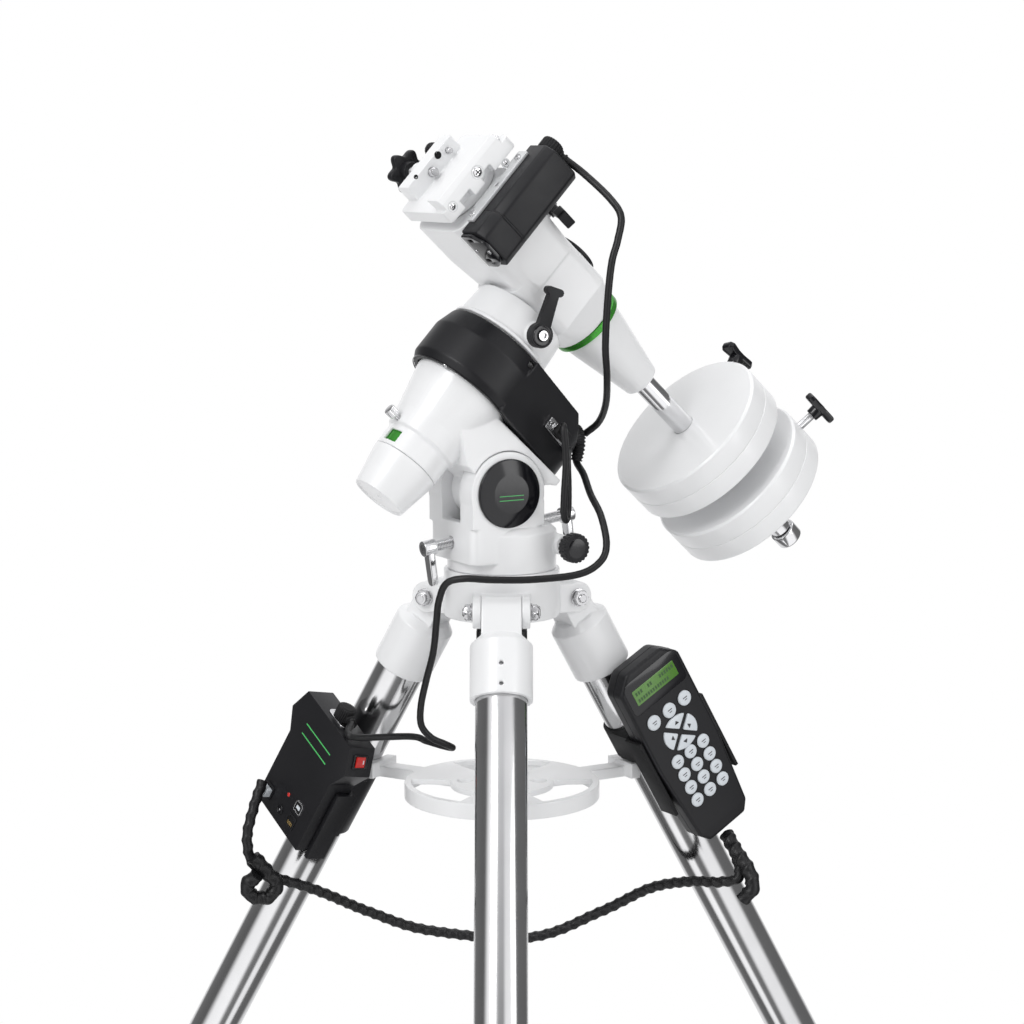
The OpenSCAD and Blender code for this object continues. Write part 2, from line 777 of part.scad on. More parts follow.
// ---------- declination assembly ----------
module dec_shaft() color(steel) {
    at_cross()
        difference() {
            union() {
                translate([0, 0, -57]) cylinder(r = 15, h = 57 + housing_top + 0.4);
                translate([0, 0, dec_wheel_q]) worm_wheel(dec_wheel_r, 10);
            }
            translate([0, 0, -70]) cylinder(r = 8.1, h = 40);
            rod_x(9, -40, 40);
        }
}

module dec_circle() color(green) {
    at_cross() pipe_z(33.5, 15 + gap, -56, -50.3);
}

// Dovetail saddle: turntable, bed and two jaws, the far one drilled for the clamp screws
jaw_top = 147;
bed_top = 133;

module saddle() color(white) {
    x0 = -40;
    at_cross()
        difference() {
            union() {
                translate([0, 0, housing_top + 0.5]) cylinder(r = 32, h = 9);
                rounded_block(x0, x0 + saddle_len, -40, 40, 121, bed_top, 6);
                // near jaw, with a sloping face towards the slot
                rotate([90, 0, 90])
                    translate([0, 0, x0 + 4])
                        linear_extrude(saddle_len - 13)
                            polygon([
                                [-40, bed_top - 4], [-slot_w / 2, bed_top - 4],
                                [-slot_w / 2 + 4, jaw_top - 3], [-37, jaw_top - 3], [-40, jaw_top - 8]
                            ]);
                // far jaw
                rotate([90, 0, 90])
                    translate([0, 0, -27])
                        linear_extrude(62)
                            polygon([
                                [40, bed_top - 4], [slot_w / 2, bed_top - 4], [slot_w / 2 - 2, jaw_top + 2],
                                [38, jaw_top + 2], [40, jaw_top]
                            ]);
                translate([0, 0, 140]) rod_y(8, 24, 46);
            }
            translate([0, 0, 100]) cylinder(r = 6, h = 60);
            translate([0, 0, 140]) rod_y(4 + gap, 10, 60);
            translate([24, 0, 141]) rod_y(2.5 + gap, 10, 60);
            // pockets in the near face
            for (x = [-22, 6]) translate([x, -50, 121 - 1]) cube([14, 19, 9]);
        }
}

module saddle_knob() {
    color(black) at_cross() translate([0, 58, 140]) rotate([-90, 30, 0]) star_screw(4, 42, 19, 14);
}

module safety_screw() {
    color(steel)
        at_cross()
            translate([24, 0, 141])
                rotate([-90, 0, 0]) {
                    translate([0, 0, 17]) cylinder(r = 2.5, h = 30);
                    translate([0, 0, 44]) fluted(7, 9, 16);
                }
}

module shaft_cone() color(white) {
    at_cross()
        difference() {
            turned_z([
                [0, -56.02], [29, -56.02], [29.5, -59], [28, -70], [18, -126], [16.5, -133],
                [13, -135], [0, -135]
            ]);
            translate([0, 0, -59]) cylinder(r = 15 + gap, h = 10);
            translate([0, 0, -140]) cylinder(r = bar_d / 2 + gap, h = 81.2);
        }
}

// Counterweight shaft with its threaded neck and the safety stop on its lower end
module counterweight_bar() color(steel) {
    at_cross() {
        translate([0, 0, -bar_end]) cylinder(r = bar_d / 2, h = bar_end - 66);
        translate([0, 0, -67]) cylinder(r = 8, h = 30);
        translate([0, 0, -bar_end - 16]) cylinder(r = 12.5, h = 14);
        translate([0, 0, -bar_end - 3]) cylinder(r = 6, h = 4);
    }
}

// Round cast weight with a shallow groove round its rim and a bore for the shaft
module weight(top) color(white) {
    low = -top - weight_h;
    mid = -top - weight_h / 2;
    at_cross()
        difference() {
            turned_z([
                [bar_d / 2 + 0.1, low], [weight_r - 3, low], [weight_r, low + 3],
                [weight_r, mid - 0.8], [weight_r - 1, mid], [weight_r, mid + 0.8],
                [weight_r, -top - 3], [weight_r - 3, -top], [bar_d / 2 + 0.1, -top]
            ]);
            translate([0, 0, mid]) rotate([0, 0, weight_screw_dir(top)]) rod_x(4 + gap, 0, 100);
        }
}

// The lock screw of each weight points a little to one side of the polar axis
function weight_screw_dir(top) = top < 240 ? 18 : -21;

module weight_knob(top) {
    color(black)
        at_cross()
            translate([0, 0, -top - weight_h / 2])
                rotate([0, 0, weight_screw_dir(top)])
                    translate([weight_r + 14, 0, 0])
                        rotate([0, 90, 0]) wing_screw(4, weight_r + 3, 17, 14);
}

// ---------- electronics ----------
control_turn = 67.5;    // control box, round its leg from the outward side
handset_turn = -88.5;   // hand controller, round its leg from the outward side
control_z = -196;       // middle of the control box, along its leg
handset_z = -167.5;     // middle of the hand controller, along its leg
control_y = 12;         // sideways shift of the control box on its bracket
handset_y = 11.5;       // sideways shift of the hand controller in its holster
control_gap = tube_d / 2 + 11.3;
handset_gap = tube_d / 2 + 10;

module on_control() on_leg(150) rotate([0, 0, control_turn]) translate([0, 0, control_z]) children();
module on_handset() on_leg(30) rotate([0, 0, handset_turn]) translate([0, 0, handset_z]) children();

// Sloping upper right side of the box, +Z out of the face
module on_switch_face() {
    on_control()
        translate([control_gap + control_size[2] / 2, control_y + 46.25, 47.5])
            rotate([-67.2, 0, 0]) children();
}

// Front of the control box with its two shoulders, as [across, along]
module control_outline(inset) {
    half = control_size[0] / 2 - inset;
    wide = control_size[1] / 2 - inset;
    polygon([
        [41 - inset, half], [51.5 - inset, 35], [wide, 16], [wide, -half],
        [-wide, -half], [-wide, 16], [inset - 51.5, 35], [inset - 41, half]
    ]);
}

module control_box() color(black) {
    deep = control_size[2];
    wide = control_size[1] / 2;
    difference() {
        on_control() {
            translate([control_gap, control_y, 0])
                rotate([90, 0, 90]) linear_extrude(deep) control_outline(0);
            // holster plate with a lip on each side
            translate([control_gap - 4, control_y - wide - 5, -65]) cube([5, 2 * wide + 10, 72]);
            for (y = [-wide - 5, wide + 0.5])
                translate([control_gap - 4, control_y + y, -65]) cube([20, 4.5, 72]);
            // bracket clamped round the leg
            translate([0, 0, -60]) cylinder(r = 26.5, h = 64);
            translate([0, -30, -60]) cube([control_gap - 3, 60, 64]);
        }
        on_control() {
            translate([control_gap + 2.5, control_y, 0])
                rotate([90, 0, 90]) linear_extrude(deep - 5) control_outline(2.5);
            translate([0, 0, -80]) cylinder(r = tube_d / 2 + gap, h = 160);
        }
        on_switch_face() {
            translate([-5.6, -5, -4]) cube([11.2, 10, 10]);
            translate([0, 0, -1]) rod_y(1 + gap, -6, 6);
        }
    }
}

module power_switch() color("red") {
    on_switch_face() {
        rotate([90, 0, 0])
            translate([0, 0, -4.75])
                linear_extrude(9.5) polygon([[-5.2, -2], [5.2, -2], [5.2, 2.4], [0, 1], [-5.2, 0.8]]);
        translate([0, 0, -1]) rod_y(1, -5.8, 5.8);
    }
}

module hand_controller() color(black) {
    half = handset_size[0] / 2;
    wide = handset_size[1] / 2;
    deep = handset_size[2];
    on_handset()
        translate([handset_gap, handset_y, 0])
            difference() {
                rotate([90, 0, 90])
                    linear_extrude(deep)
                        polygon([
                            [14 - wide, -half], [wide - 14, -half], [wide - 8, -half + 4],
                            [wide - 6.5, -half + 10], [wide, -6], [wide, half - 14],
                            [wide - 5, half - 4], [wide - 15, half],
                            [15 - wide, half], [5 - wide, half - 4], [-wide, half - 14], [-wide, -6],
                            [6.5 - wide, -half + 10], [8 - wide, -half + 4]
                        ]);
                translate([2.5, 9 - wide, -half + 8]) cube([deep - 5, 2 * wide - 18, 2 * half - 18]);
                for (k = key_places) translate([deep - 4, k[0], k[1]]) rod_x(k[2] + 0.4, 0, 6);
            }
}

// Keys as [across, along, radius]: a row of three, four arrows and four rows of three
key_rows = [for (row = [0:3], col = [-1:1]) [col * 16, -7 - row * 14.5, 6.7]];
key_arrows = [[-12, 15.5, 5.4], [12, 15.5, 5.4], [0, 24, 5.4], [0, 7, 5.4]];
key_top = [for (col = [-1:1]) [col * 19, 39.5, 7.3]];
key_places = concat(key_rows, key_arrows, key_top);

module keypad() color([0.85, 0.87, 0.9]) {
    on_handset()
        translate([handset_gap + handset_size[2] - 4, handset_y, 0]) {
            for (k = key_places) translate([0.3, k[0], k[1]]) rod_x(k[2], -1, 5);
            translate([-1.6, -25.5, -60]) cube([1.2, 51, 108]);
        }
}

// Holster that straps on the leg and holds the hand controller
module hand_cradle() color(black) {
    wide = handset_size[1] / 2;
    on_handset()
        difference() {
            union() {
                translate([0, 0, -0.5]) cylinder(r = tube_d / 2 + 3, h = 30);
                translate([0, -26, -0.5]) cube([handset_gap - 2, 52, 30]);
                for (s = [-1, 1])
                    translate([handset_gap - 3, handset_y + s * (wide + 2.2) - 1.7, -53]) cube([24, 3.4, 81]);
                translate([handset_gap - 3, handset_y - wide - 3.9, -53]) cube([2.6, 2 * wide + 7.8, 81]);
            }
            translate([0, 0, -80]) cylinder(r = tube_d / 2 + gap, h = 160);
        }
}

// ---------- cables ----------
// A point given in the control box's frame, carried to the row frame
function box_point(x, y, z) = leg_point(150, turn_z([x, y, z + control_z], control_turn));

// From the declination drive to the round socket on the motor cover
module dec_cable() color(black) {
    cable([
        cross_point(65.2, -62.5, 85), cross_point(63, -74, 69), cross_point(57, -95, 47),
        cross_point(48, -108, 35), cross_point(30, -112, 26), cross_point(12, -113, 18),
        cross_point(-13, -112, -1), cross_point(-38, -101, -31), cross_point(-50, -83, -60),
        cross_point(-58, -55, -90), cross_point(-66, -30, -109), cross_point(-76, -17, -114.6)
    ], 3);
}

// From the motor cover down past the fork, in front of the hub and round to the control box
module control_cable() color(black) {
    cable([
        cross_point(-101, -14, -123.4), head_point(62, -36, 779), head_point(57, -56, 764),
        head_point(54, -78, 748), head_point(49, -95, 726), head_point(40, -99, 712),
        head_point(22, -93, 702), head_point(-13, -76, 698), head_point(-44, -60, 698),
        head_point(-64, -48, 699), head_point(-75, -36, 694), head_point(-76, -24, 677),
        head_point(-73, -14, 658), head_point(-66, 5, 627), head_point(-62, 26, 597),
        head_point(-60, 40, 571), head_point(-57, 45, 552), head_point(-48, 43, 540),
        head_point(-35, 41, 533), head_point(-26, 44, 528), head_point(-30, 53, 528),
        head_point(-44, 60, 533), head_point(-58, 64, 538),
        box_point(58, 46, 66), box_point(49, 27, 66.5)
    ], 3.2, 4);
}

// Spiral-wrapped lead of the hand controller, which loops under the box and sags between the rear legs
module handset_cable() color(black) {
    cable([
        box_point(67.5, -20, -38), [-226, 48, 468], [-232, 40, 440], [-226, 42, 414], [-206, 50, 400],
        [-182, 58, 390], [-160, 72, 377], [-124, 98, 353], [-69, 118, 329], [26, 122, 321],
        [92, 112, 349], [138, 92, 378], [173, 66, 392], [200, 44, 398], [216, 36, 408], [207, 62, 441]
    ], 4.2, 4);
}

tripod_hub();
hinge_bolts();
lock_rod();
accessory_tray();
tray_knob();
leg_casting(-90);  // front_leg_casting
upper_tube(-90);  // front_upper_tube
leg_clamp(-90);  // front_leg_clamp
lower_leg(-90);  // front_lower_leg
leg_knob(-90);  // front_leg_knob
leg_casting(30);  // right_leg_casting
upper_tube(30);  // right_upper_tube
leg_clamp(30);  // right_leg_clamp
lower_leg(30);  // right_lower_leg
leg_knob(30);  // right_leg_knob
leg_casting(150);  // left_leg_casting
upper_tube(150);  // left_upper_tube
leg_clamp(150);  // left_leg_clamp
lower_leg(150);  // left_lower_leg
leg_knob(150);  // left_leg_knob
base_casting();
altitude_pivot();
azimuth_studs();
azimuth_knobs();
altitude_studs();
altitude_handles();
ra_housing();
ra_motor_cover();
ra_motor();
ra_worm();
date_circle();
date_screw();
polar_cap();
ra_shaft();
ra_upper_body();
dec_housing();
ra_clutch_lever();
dec_clutch_lever();
front_cap();
dec_motor_box();
dec_worm();
dec_shaft();
dec_circle();
saddle();
saddle_knob();
safety_screw();
shaft_cone();
counterweight_bar();
weight(weight_1);  // upper_weight
weight(weight_2);  // lower_weight
weight_knob(weight_1);  // upper_weight_knob
weight_knob(weight_2);  // lower_weight_knob
control_box();
power_switch();
hand_controller();
keypad();
hand_cradle();
dec_cable();
control_cable();
handset_cable();
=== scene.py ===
"""Looks of a motorised equatorial mount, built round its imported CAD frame.

Every piece is modelled in millimetres in the local frame of the part it belongs to (the crossing of the
two axes, the altitude axis, a leg, a leg-mounted box), and those frames come from the record's joints.
"""
import json
import math

import bmesh
import bpy
from mathutils import Matrix, Vector


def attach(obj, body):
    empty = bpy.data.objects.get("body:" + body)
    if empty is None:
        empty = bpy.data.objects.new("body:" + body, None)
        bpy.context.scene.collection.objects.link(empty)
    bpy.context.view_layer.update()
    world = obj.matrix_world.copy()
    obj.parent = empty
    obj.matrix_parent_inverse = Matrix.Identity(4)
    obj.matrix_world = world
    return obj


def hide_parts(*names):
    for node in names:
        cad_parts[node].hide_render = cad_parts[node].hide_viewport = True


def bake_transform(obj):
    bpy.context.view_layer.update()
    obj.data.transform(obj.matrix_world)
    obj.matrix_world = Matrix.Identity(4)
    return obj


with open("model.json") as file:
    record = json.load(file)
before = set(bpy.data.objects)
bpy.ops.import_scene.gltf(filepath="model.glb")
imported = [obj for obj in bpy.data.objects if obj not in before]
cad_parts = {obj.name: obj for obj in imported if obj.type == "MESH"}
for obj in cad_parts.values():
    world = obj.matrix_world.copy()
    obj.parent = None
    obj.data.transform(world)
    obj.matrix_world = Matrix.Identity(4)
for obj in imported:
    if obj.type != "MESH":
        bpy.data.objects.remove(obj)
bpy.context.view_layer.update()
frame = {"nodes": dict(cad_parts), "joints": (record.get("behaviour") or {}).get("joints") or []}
JOINTS = {j["name"]: j for j in frame["joints"]}
TAU = 2 * math.pi


# ---------- local frames, millimetres to metres ----------
def axes(origin, x, z):
    x, z = Vector(x).normalized(), Vector(z).normalized()
    turned = Matrix((x, z.cross(x), z)).transposed().to_4x4()
    return Matrix.Translation(Vector(origin)) @ turned @ Matrix.Scale(0.001, 4)


def move(x=0.0, y=0.0, z=0.0):
    return Matrix.Translation((x, y, z))


def turn(degrees, axis):
    return Matrix.Rotation(math.radians(degrees), 4, axis)


def span(node, at):
    """Lowest and highest corner of a CAD node in a local frame, in millimetres."""
    back = at.inverted()
    pts = [back @ v.co for v in frame["nodes"][node].data.vertices]
    return Vector(map(min, *pts)), Vector(map(max, *pts))


polar, dec = Vector(JOINTS["ra_turn"]["axis"]), Vector(JOINTS["dec_turn"]["axis"])
north = Vector((polar.x, polar.y, 0)).normalized()
CROSS = axes(JOINTS["ra_turn"]["pos_m"], polar, dec)
HEAD = axes((0, 0, 0), north, (0, 0, 1))
ALT = axes(JOINTS["altitude_tilt"]["pos_m"], north, (0, 0, 1))
PEG = axes(JOINTS["azimuth_knob_turn"]["pos_m"], north, (0, 0, 1))
tilt = Vector(JOINTS["altitude_screw_travel"]["axis"])
TILT = axes(JOINTS["altitude_handle_turn"]["pos_m"], tilt, tilt.cross(Vector((0, 0, 1)).cross(tilt)))
LEG = {}
for side in ("front", "right", "left"):
    up = -Vector(JOINTS[side + "_leg_extend"]["axis"])
    across = -Vector(JOINTS[side + "_leg_fold"]["axis"])
    LEG[side] = axes(JOINTS[side + "_leg_fold"]["pos_m"], across.cross(up), up)


def on_box(side, node, outward, half):
    """Frame of a box strapped on a leg: origin on the leg's centreline, half a box length below the box's top."""
    up = -Vector(JOINTS[side + "_leg_extend"]["axis"])
    return axes(LEG[side] @ Vector((0, 0, span(node, LEG[side])[1].z - half)), outward, up)


rocking, leg_up = Vector(JOINTS["power_switch_rock"]["axis"]), -Vector(JOINTS["left_leg_extend"]["axis"])
BOX = on_box("left", "control_box", (rocking - leg_up * rocking.dot(leg_up)).cross(leg_up), 59.5)
HANDSET = on_box("right", "hand_controller", JOINTS["keypad_press"]["axis"], 94)
FACE = turn(90, "Z") @ turn(90, "X")  # lays a flat outline (across, along) on a plane facing local +x


# ---------- mesh tools ----------
def solid(verts, faces, at, uvs=None):
    mesh = bpy.data.meshes.new("part")
    mesh.from_pydata([at @ Vector(v) for v in verts], [], faces)
    if uvs:
        layer = mesh.uv_layers.new(name="UVMap")
        for loop, uv in zip(layer.data, uvs):
            loop.uv = uv
    ob = bpy.data.objects.new("part", mesh)
    bpy.context.scene.collection.objects.link(ob)
    return tidy(ob)


def tidy(ob, merge=1e-6):
    """Welds coincident points and turns every face outward."""
    bm = bmesh.new()
    bm.from_mesh(ob.data)
    bmesh.ops.remove_doubles(bm, verts=bm.verts, dist=merge)
    bmesh.ops.recalc_face_normals(bm, faces=bm.faces)
    bm.to_mesh(ob.data)
    bm.free()
    return ob


def loft(rings, at, seg=72, closed=False):
    """Skin over rings (radius, z) about Z. A radius may be a function of the angle, for lobes, flats and flutes."""
    rows = []
    for r, z in rings:
        reach = r if callable(r) else (lambda a, r=r: r)
        row = []
        for k in range(seg):
            a = TAU * k / seg
            row.append((reach(a) * math.cos(a), reach(a) * math.sin(a), z))
        rows.append(row)
    verts = [v for row in rows for v in row]
    along = [0.0]
    for a, b in zip(rows, rows[1:]):
        along.append(along[-1] + (Vector(b[0]) - Vector(a[0])).length)
    faces, uvs = [], []
    count = len(rows)
    for i in range(count if closed else count - 1):
        j = (i + 1) % count
        v0, v1 = along[i], along[j] if j else along[-1] + 1
        for k in range(seg):
            n = (k + 1) % seg
            faces.append((i * seg + k, i * seg + n, j * seg + n, j * seg + k))
            uvs += [(k / seg, v0), ((k + 1) / seg, v0), ((k + 1) / seg, v1), (k / seg, v1)]
    return solid(verts, faces, at, uvs)


def rounded(points, closed=False, steps=4):
    """Corner points (x, y, radius) as points with an arc at every corner that has a radius."""
    out, n = [], len(points)
    for i, p in enumerate(points):
        r = p[2] if len(p) > 2 else 0
        if r == 0 or (not closed and i in (0, n - 1)):
            out.append((p[0], p[1]))
            continue
        a, b, c = (Vector(points[k % n][:2]) for k in (i - 1, i, i + 1))
        u, w = (a - b).normalized(), (c - b).normalized()
        half = u.angle(w) / 2
        if half > 1.55:
            out.append(tuple(b))
            continue
        reach = min(r / math.tan(half), 0.49 * (a - b).length, 0.49 * (c - b).length)
        r = reach * math.tan(half)
        centre = b + (u + w).normalized() * r / math.sin(half)
        s, e = b + u * reach - centre, b + w * reach - centre
        t0 = math.atan2(s.y, s.x)
        sweep = (math.atan2(e.y, e.x) - t0 + math.pi) % TAU - math.pi
        for k in range(steps + 1):
            t = t0 + sweep * k / steps
            out.append((centre.x + r * math.cos(t), centre.y + r * math.sin(t)))
    return out


def lathe(points, at, seg=96, closed=False, steps=4):
    """Solid of revolution about Z from corner points (radius, z, fillet)."""
    return loft(rounded(points, closed, steps), at, seg, closed)


def edge_rings(reach, z0, z1, r, steps=4):
    """Rings of a capped column with rounded rims; reach(inset) gives the radius or radius function."""
    low = [(reach(r - r * math.sin(t)), z0 + r - r * math.cos(t)) for t in
           [math.pi / 2 * k / steps for k in range(steps + 1)]]
    high = [(x, z0 + z1 - z) for x, z in reversed(low)]
    return [(0, z0)] + low + high + [(0, z1)]


def hexagon(flats):
    """Radius function of a hexagon by its width over flats."""
    return lambda inset: lambda a: (flats / 2 - inset) / math.cos((a + math.pi / 6) % (math.pi / 3) - math.pi / 6)


def lobed(n, radius, depth, sharp=1.0):
    """Radius function of a star knob with n round lobes."""
    return lambda inset: lambda a: radius - inset - depth * (0.5 - 0.5 * math.cos(n * a)) ** sharp


def prism(outlines, z0, z1, at, edge=0.8, steps=3):
    """Plate or block from flat outlines (the first is the rim, the rest are holes), with rounded rims."""
    curve = bpy.data.curves.new("outline", "CURVE")
    curve.dimensions, curve.fill_mode = "2D", "BOTH"
    curve.extrude = (z1 - z0) / 2 - edge
    curve.bevel_depth, curve.bevel_resolution, curve.offset = edge, steps - 1, -edge
    for points in outlines:
        spline = curve.splines.new("POLY")
        spline.points.add(len(points) - 1)
        for p, q in zip(spline.points, points):
            p.co = (q[0], q[1], 0, 1)
        spline.use_cyclic_u = True
    holder = bpy.data.objects.new("outline", curve)
    bpy.context.scene.collection.objects.link(holder)
    mesh = bpy.data.meshes.new_from_object(holder.evaluated_get(bpy.context.evaluated_depsgraph_get()))
    bpy.data.objects.remove(holder)
    mesh.transform(at @ move(z=(z0 + z1) / 2))
    ob = bpy.data.objects.new("part", mesh)
    bpy.context.scene.collection.objects.link(ob)
    return tidy(ob)


def rect(x0, x1, y0, y1, r=0.0):
    return rounded([(x0, y0, r), (x1, y0, r), (x1, y1, r), (x0, y1, r)], True, 5)


def ring(x, y, r, n=32):
    return [(x + r * math.cos(TAU * k / n), y + r * math.sin(TAU * k / n)) for k in range(n)]


def block(x0, x1, y0, y1, z0, z1, at, r=1.5, edge=0.8):
    return prism([rect(x0, x1, y0, y1, r)], z0, z1, at, edge)


def settle(ob):
    """Applies the modifiers of ob."""
    shape = bpy.data.meshes.new_from_object(ob.evaluated_get(bpy.context.evaluated_depsgraph_get()))
    ob.modifiers.clear()
    ob.data = shape
    return ob


def combine(base, how, *others):
    """Joins others to base (UNION) or cuts them from it (DIFFERENCE), and removes them."""
    for other in others:
        m = base.modifiers.new("combine", "BOOLEAN")
        m.operation, m.object, m.solver = how, other, "EXACT"
    settle(base)
    for other in others:
        bpy.data.objects.remove(other)
    return base


def cut(base, *tools):
    return combine(base, "DIFFERENCE", *tools)


def fuse(base, *others):
    return combine(base, "UNION", *others)


def group(first, *others):
    """Puts separate shells in one object."""
    bm = bmesh.new()
    for ob in (first,) + others:
        bm.from_mesh(ob.data)
    bm.to_mesh(first.data)
    bm.free()
    for ob in others:
        bpy.data.objects.remove(ob)
    return first


def cad(node):
    """A welded copy of a CAD node's mesh, to work on."""
    mesh = frame["nodes"][node].data.copy()
    mesh.materials.clear()
    ob = bpy.data.objects.new("part", mesh)
    bpy.context.scene.collection.objects.link(ob)
    return tidy(ob, 2e-6)


def cast(ob, voxel=0.9, smooth=3, keep=0.25):
    """Blends every edge and inside corner the way a sand casting or a moulding has them."""
    m = ob.modifiers.new("skin", "REMESH")
    m.mode, m.voxel_size = "VOXEL", voxel / 1000
    m = ob.modifiers.new("soften", "SMOOTH")
    m.factor, m.iterations = 0.5, smooth
    m = ob.modifiers.new("lighten", "DECIMATE")
    m.ratio = keep
    settle(ob)
    ob["soft"] = True
    return ob


def bevelled(ob, width=0.6, angle=32, segments=2):
    """Rounds the edges of a part with crisp machined or moulded edges."""
    bm = bmesh.new()
    bm.from_mesh(ob.data)
    bmesh.ops.dissolve_limit(bm, angle_limit=math.radians(0.5), verts=bm.verts, edges=bm.edges)
    bm.to_mesh(ob.data)
    bm.free()
    m = ob.modifiers.new("edges", "BEVEL")
    m.width, m.segments, m.limit_method = width / 1000, segments, "ANGLE"
    m.angle_limit, m.harden_normals = math.radians(angle), False
    return settle(ob)


def smooth_path(points, steps=8):
    """Points along a smooth curve through the given points."""
    pts = [Vector(p) for p in points]
    pts = [2 * pts[0] - pts[1]] + pts + [2 * pts[-1] - pts[-2]]
    out = []
    for i in range(1, len(pts) - 2):
        a, b, c, d = pts[i - 1:i + 3]
        for k in range(steps):
            t = k / steps
            out.append(0.5 * (2 * b + (c - a) * t + (2 * a - 5 * b + 4 * c - d) * t ** 2
                              + (3 * b - a - 3 * c + d) * t ** 3))
    return out + [pts[-2]]


def carried(path):
    """For every point of a path: its place, direction and two side vectors that never twist."""
    out, s = [], None
    for i, p in enumerate(path):
        d = (path[min(i + 1, len(path) - 1)] - path[max(i - 1, 0)]).normalized()
        s = d.orthogonal() if s is None else s - d * s.dot(d)
        s = s.normalized()
        out.append((p, d, s, d.cross(s)))
    return out


def sweep(path, radius, at=Matrix.Identity(4), seg=16):
    """Round cable along a path; radius may be a function of the distance along it and the angle round it."""
    reach = radius if callable(radius) else (lambda s, a: radius)
    verts, uvs, faces, dist, last = [], [], [], 0.0, None
    marks = []
    for p, d, s, u in carried(path):
        dist += (p - last).length if last else 0
        last = p
        marks.append(dist)
        for k in range(seg):
            a = TAU * k / seg
            verts.append(p + reach(dist, a) * (s * math.cos(a) + u * math.sin(a)))
    n = len(path)
    for i in range(n - 1):
        for k in range(seg):
            j = (k + 1) % seg
            faces.append((i * seg + k, i * seg + j, (i + 1) * seg + j, (i + 1) * seg + k))
            uvs += [(k / seg, marks[i]), ((k + 1) / seg, marks[i]), ((k + 1) / seg, marks[i + 1]), (k / seg, marks[i + 1])]
    faces += [tuple(range(seg))[::-1], tuple(range((n - 1) * seg, n * seg))]
    uvs += [(0, 0)] * (2 * seg)
    return solid(verts, faces, at, uvs)


def resampled(path, step):
    """Points at even distances along a path."""
    out, left = [path[0]], step
    for a, b in zip(path, path[1:]):
        length, done = (b - a).length, 0.0
        while length - done >= left:
            done += left
            out.append(a.lerp(b, done / length))
            left = step
        left -= length - done
    return out


def thread(r, z0, z1, pitch, at, seg=24):
    """Screw thread from z0 to z1 about Z with chamfered ends."""
    steps = int((z1 - z0) / pitch * 6)
    rings = [(0, z0), (r - 0.6 * pitch, z0)]
    for i in range(steps + 1):
        z = z0 + (z1 - z0) * i / steps
        end = max(0.0, 0.6 * pitch - min(z - z0, z1 - z))
        rings.append((lambda a, z=z, end=end: r - end - 0.3 * pitch * abs(2 * ((z / pitch - a / TAU) % 1) - 1), z))
    return loft(rings + [(r - 0.6 * pitch, z1), (0, z1)], at, seg)


def hex_head(flats, h, at, recess=0.0):
    """Hexagon head or nut with its chamfered corners."""
    shape = hexagon(flats)
    trim = lambda lift: lambda a: min(shape(0)(a), flats / 2 + lift)
    rings = [(0, 0), (trim(0.1), 0), (trim(flats * 0.08), 0.12 * h), (trim(flats * 0.08), 0.82 * h), (trim(-0.2), h)]
    if recess:
        rings += [(recess, h), (recess, h - 0.5)]
    return loft(rings + [(0, rings[-1][1])], at, 72)


def socket_screw(r, h, at, flats=None):
    """Cap screw with a knurled rim and a hexagon socket."""
    key = hexagon(flats or r * 1.1)(0)
    knurl = lambda a: r - 0.12 * r * (0.5 - 0.5 * math.cos(18 * a)) * 0.5
    rings = [(0, 0), (knurl, 0), (knurl, h * 0.82), (r * 0.9, h), (lambda a: key(a) + 0.15, h), (key, h - 0.3),
             (key, h * 0.35), (0, h * 0.3)]
    return loft(rings, at, 72)


def cross_screw(r, h, at):
    """Domed screw with a cross recess."""
    def slots(size):
        return lambda a: size * (0.28 + 0.72 * max(0.0, math.cos(4 * a)) ** 6)
    rings = [(0, 0), (r, 0), (r, h * 0.25), (r * 0.93, h * 0.6), (r * 0.75, h * 0.88), (slots(r * 0.66), h),
             (slots(r * 0.55), h * 0.55), (0, h * 0.3)]
    return loft(rings, at, 72)


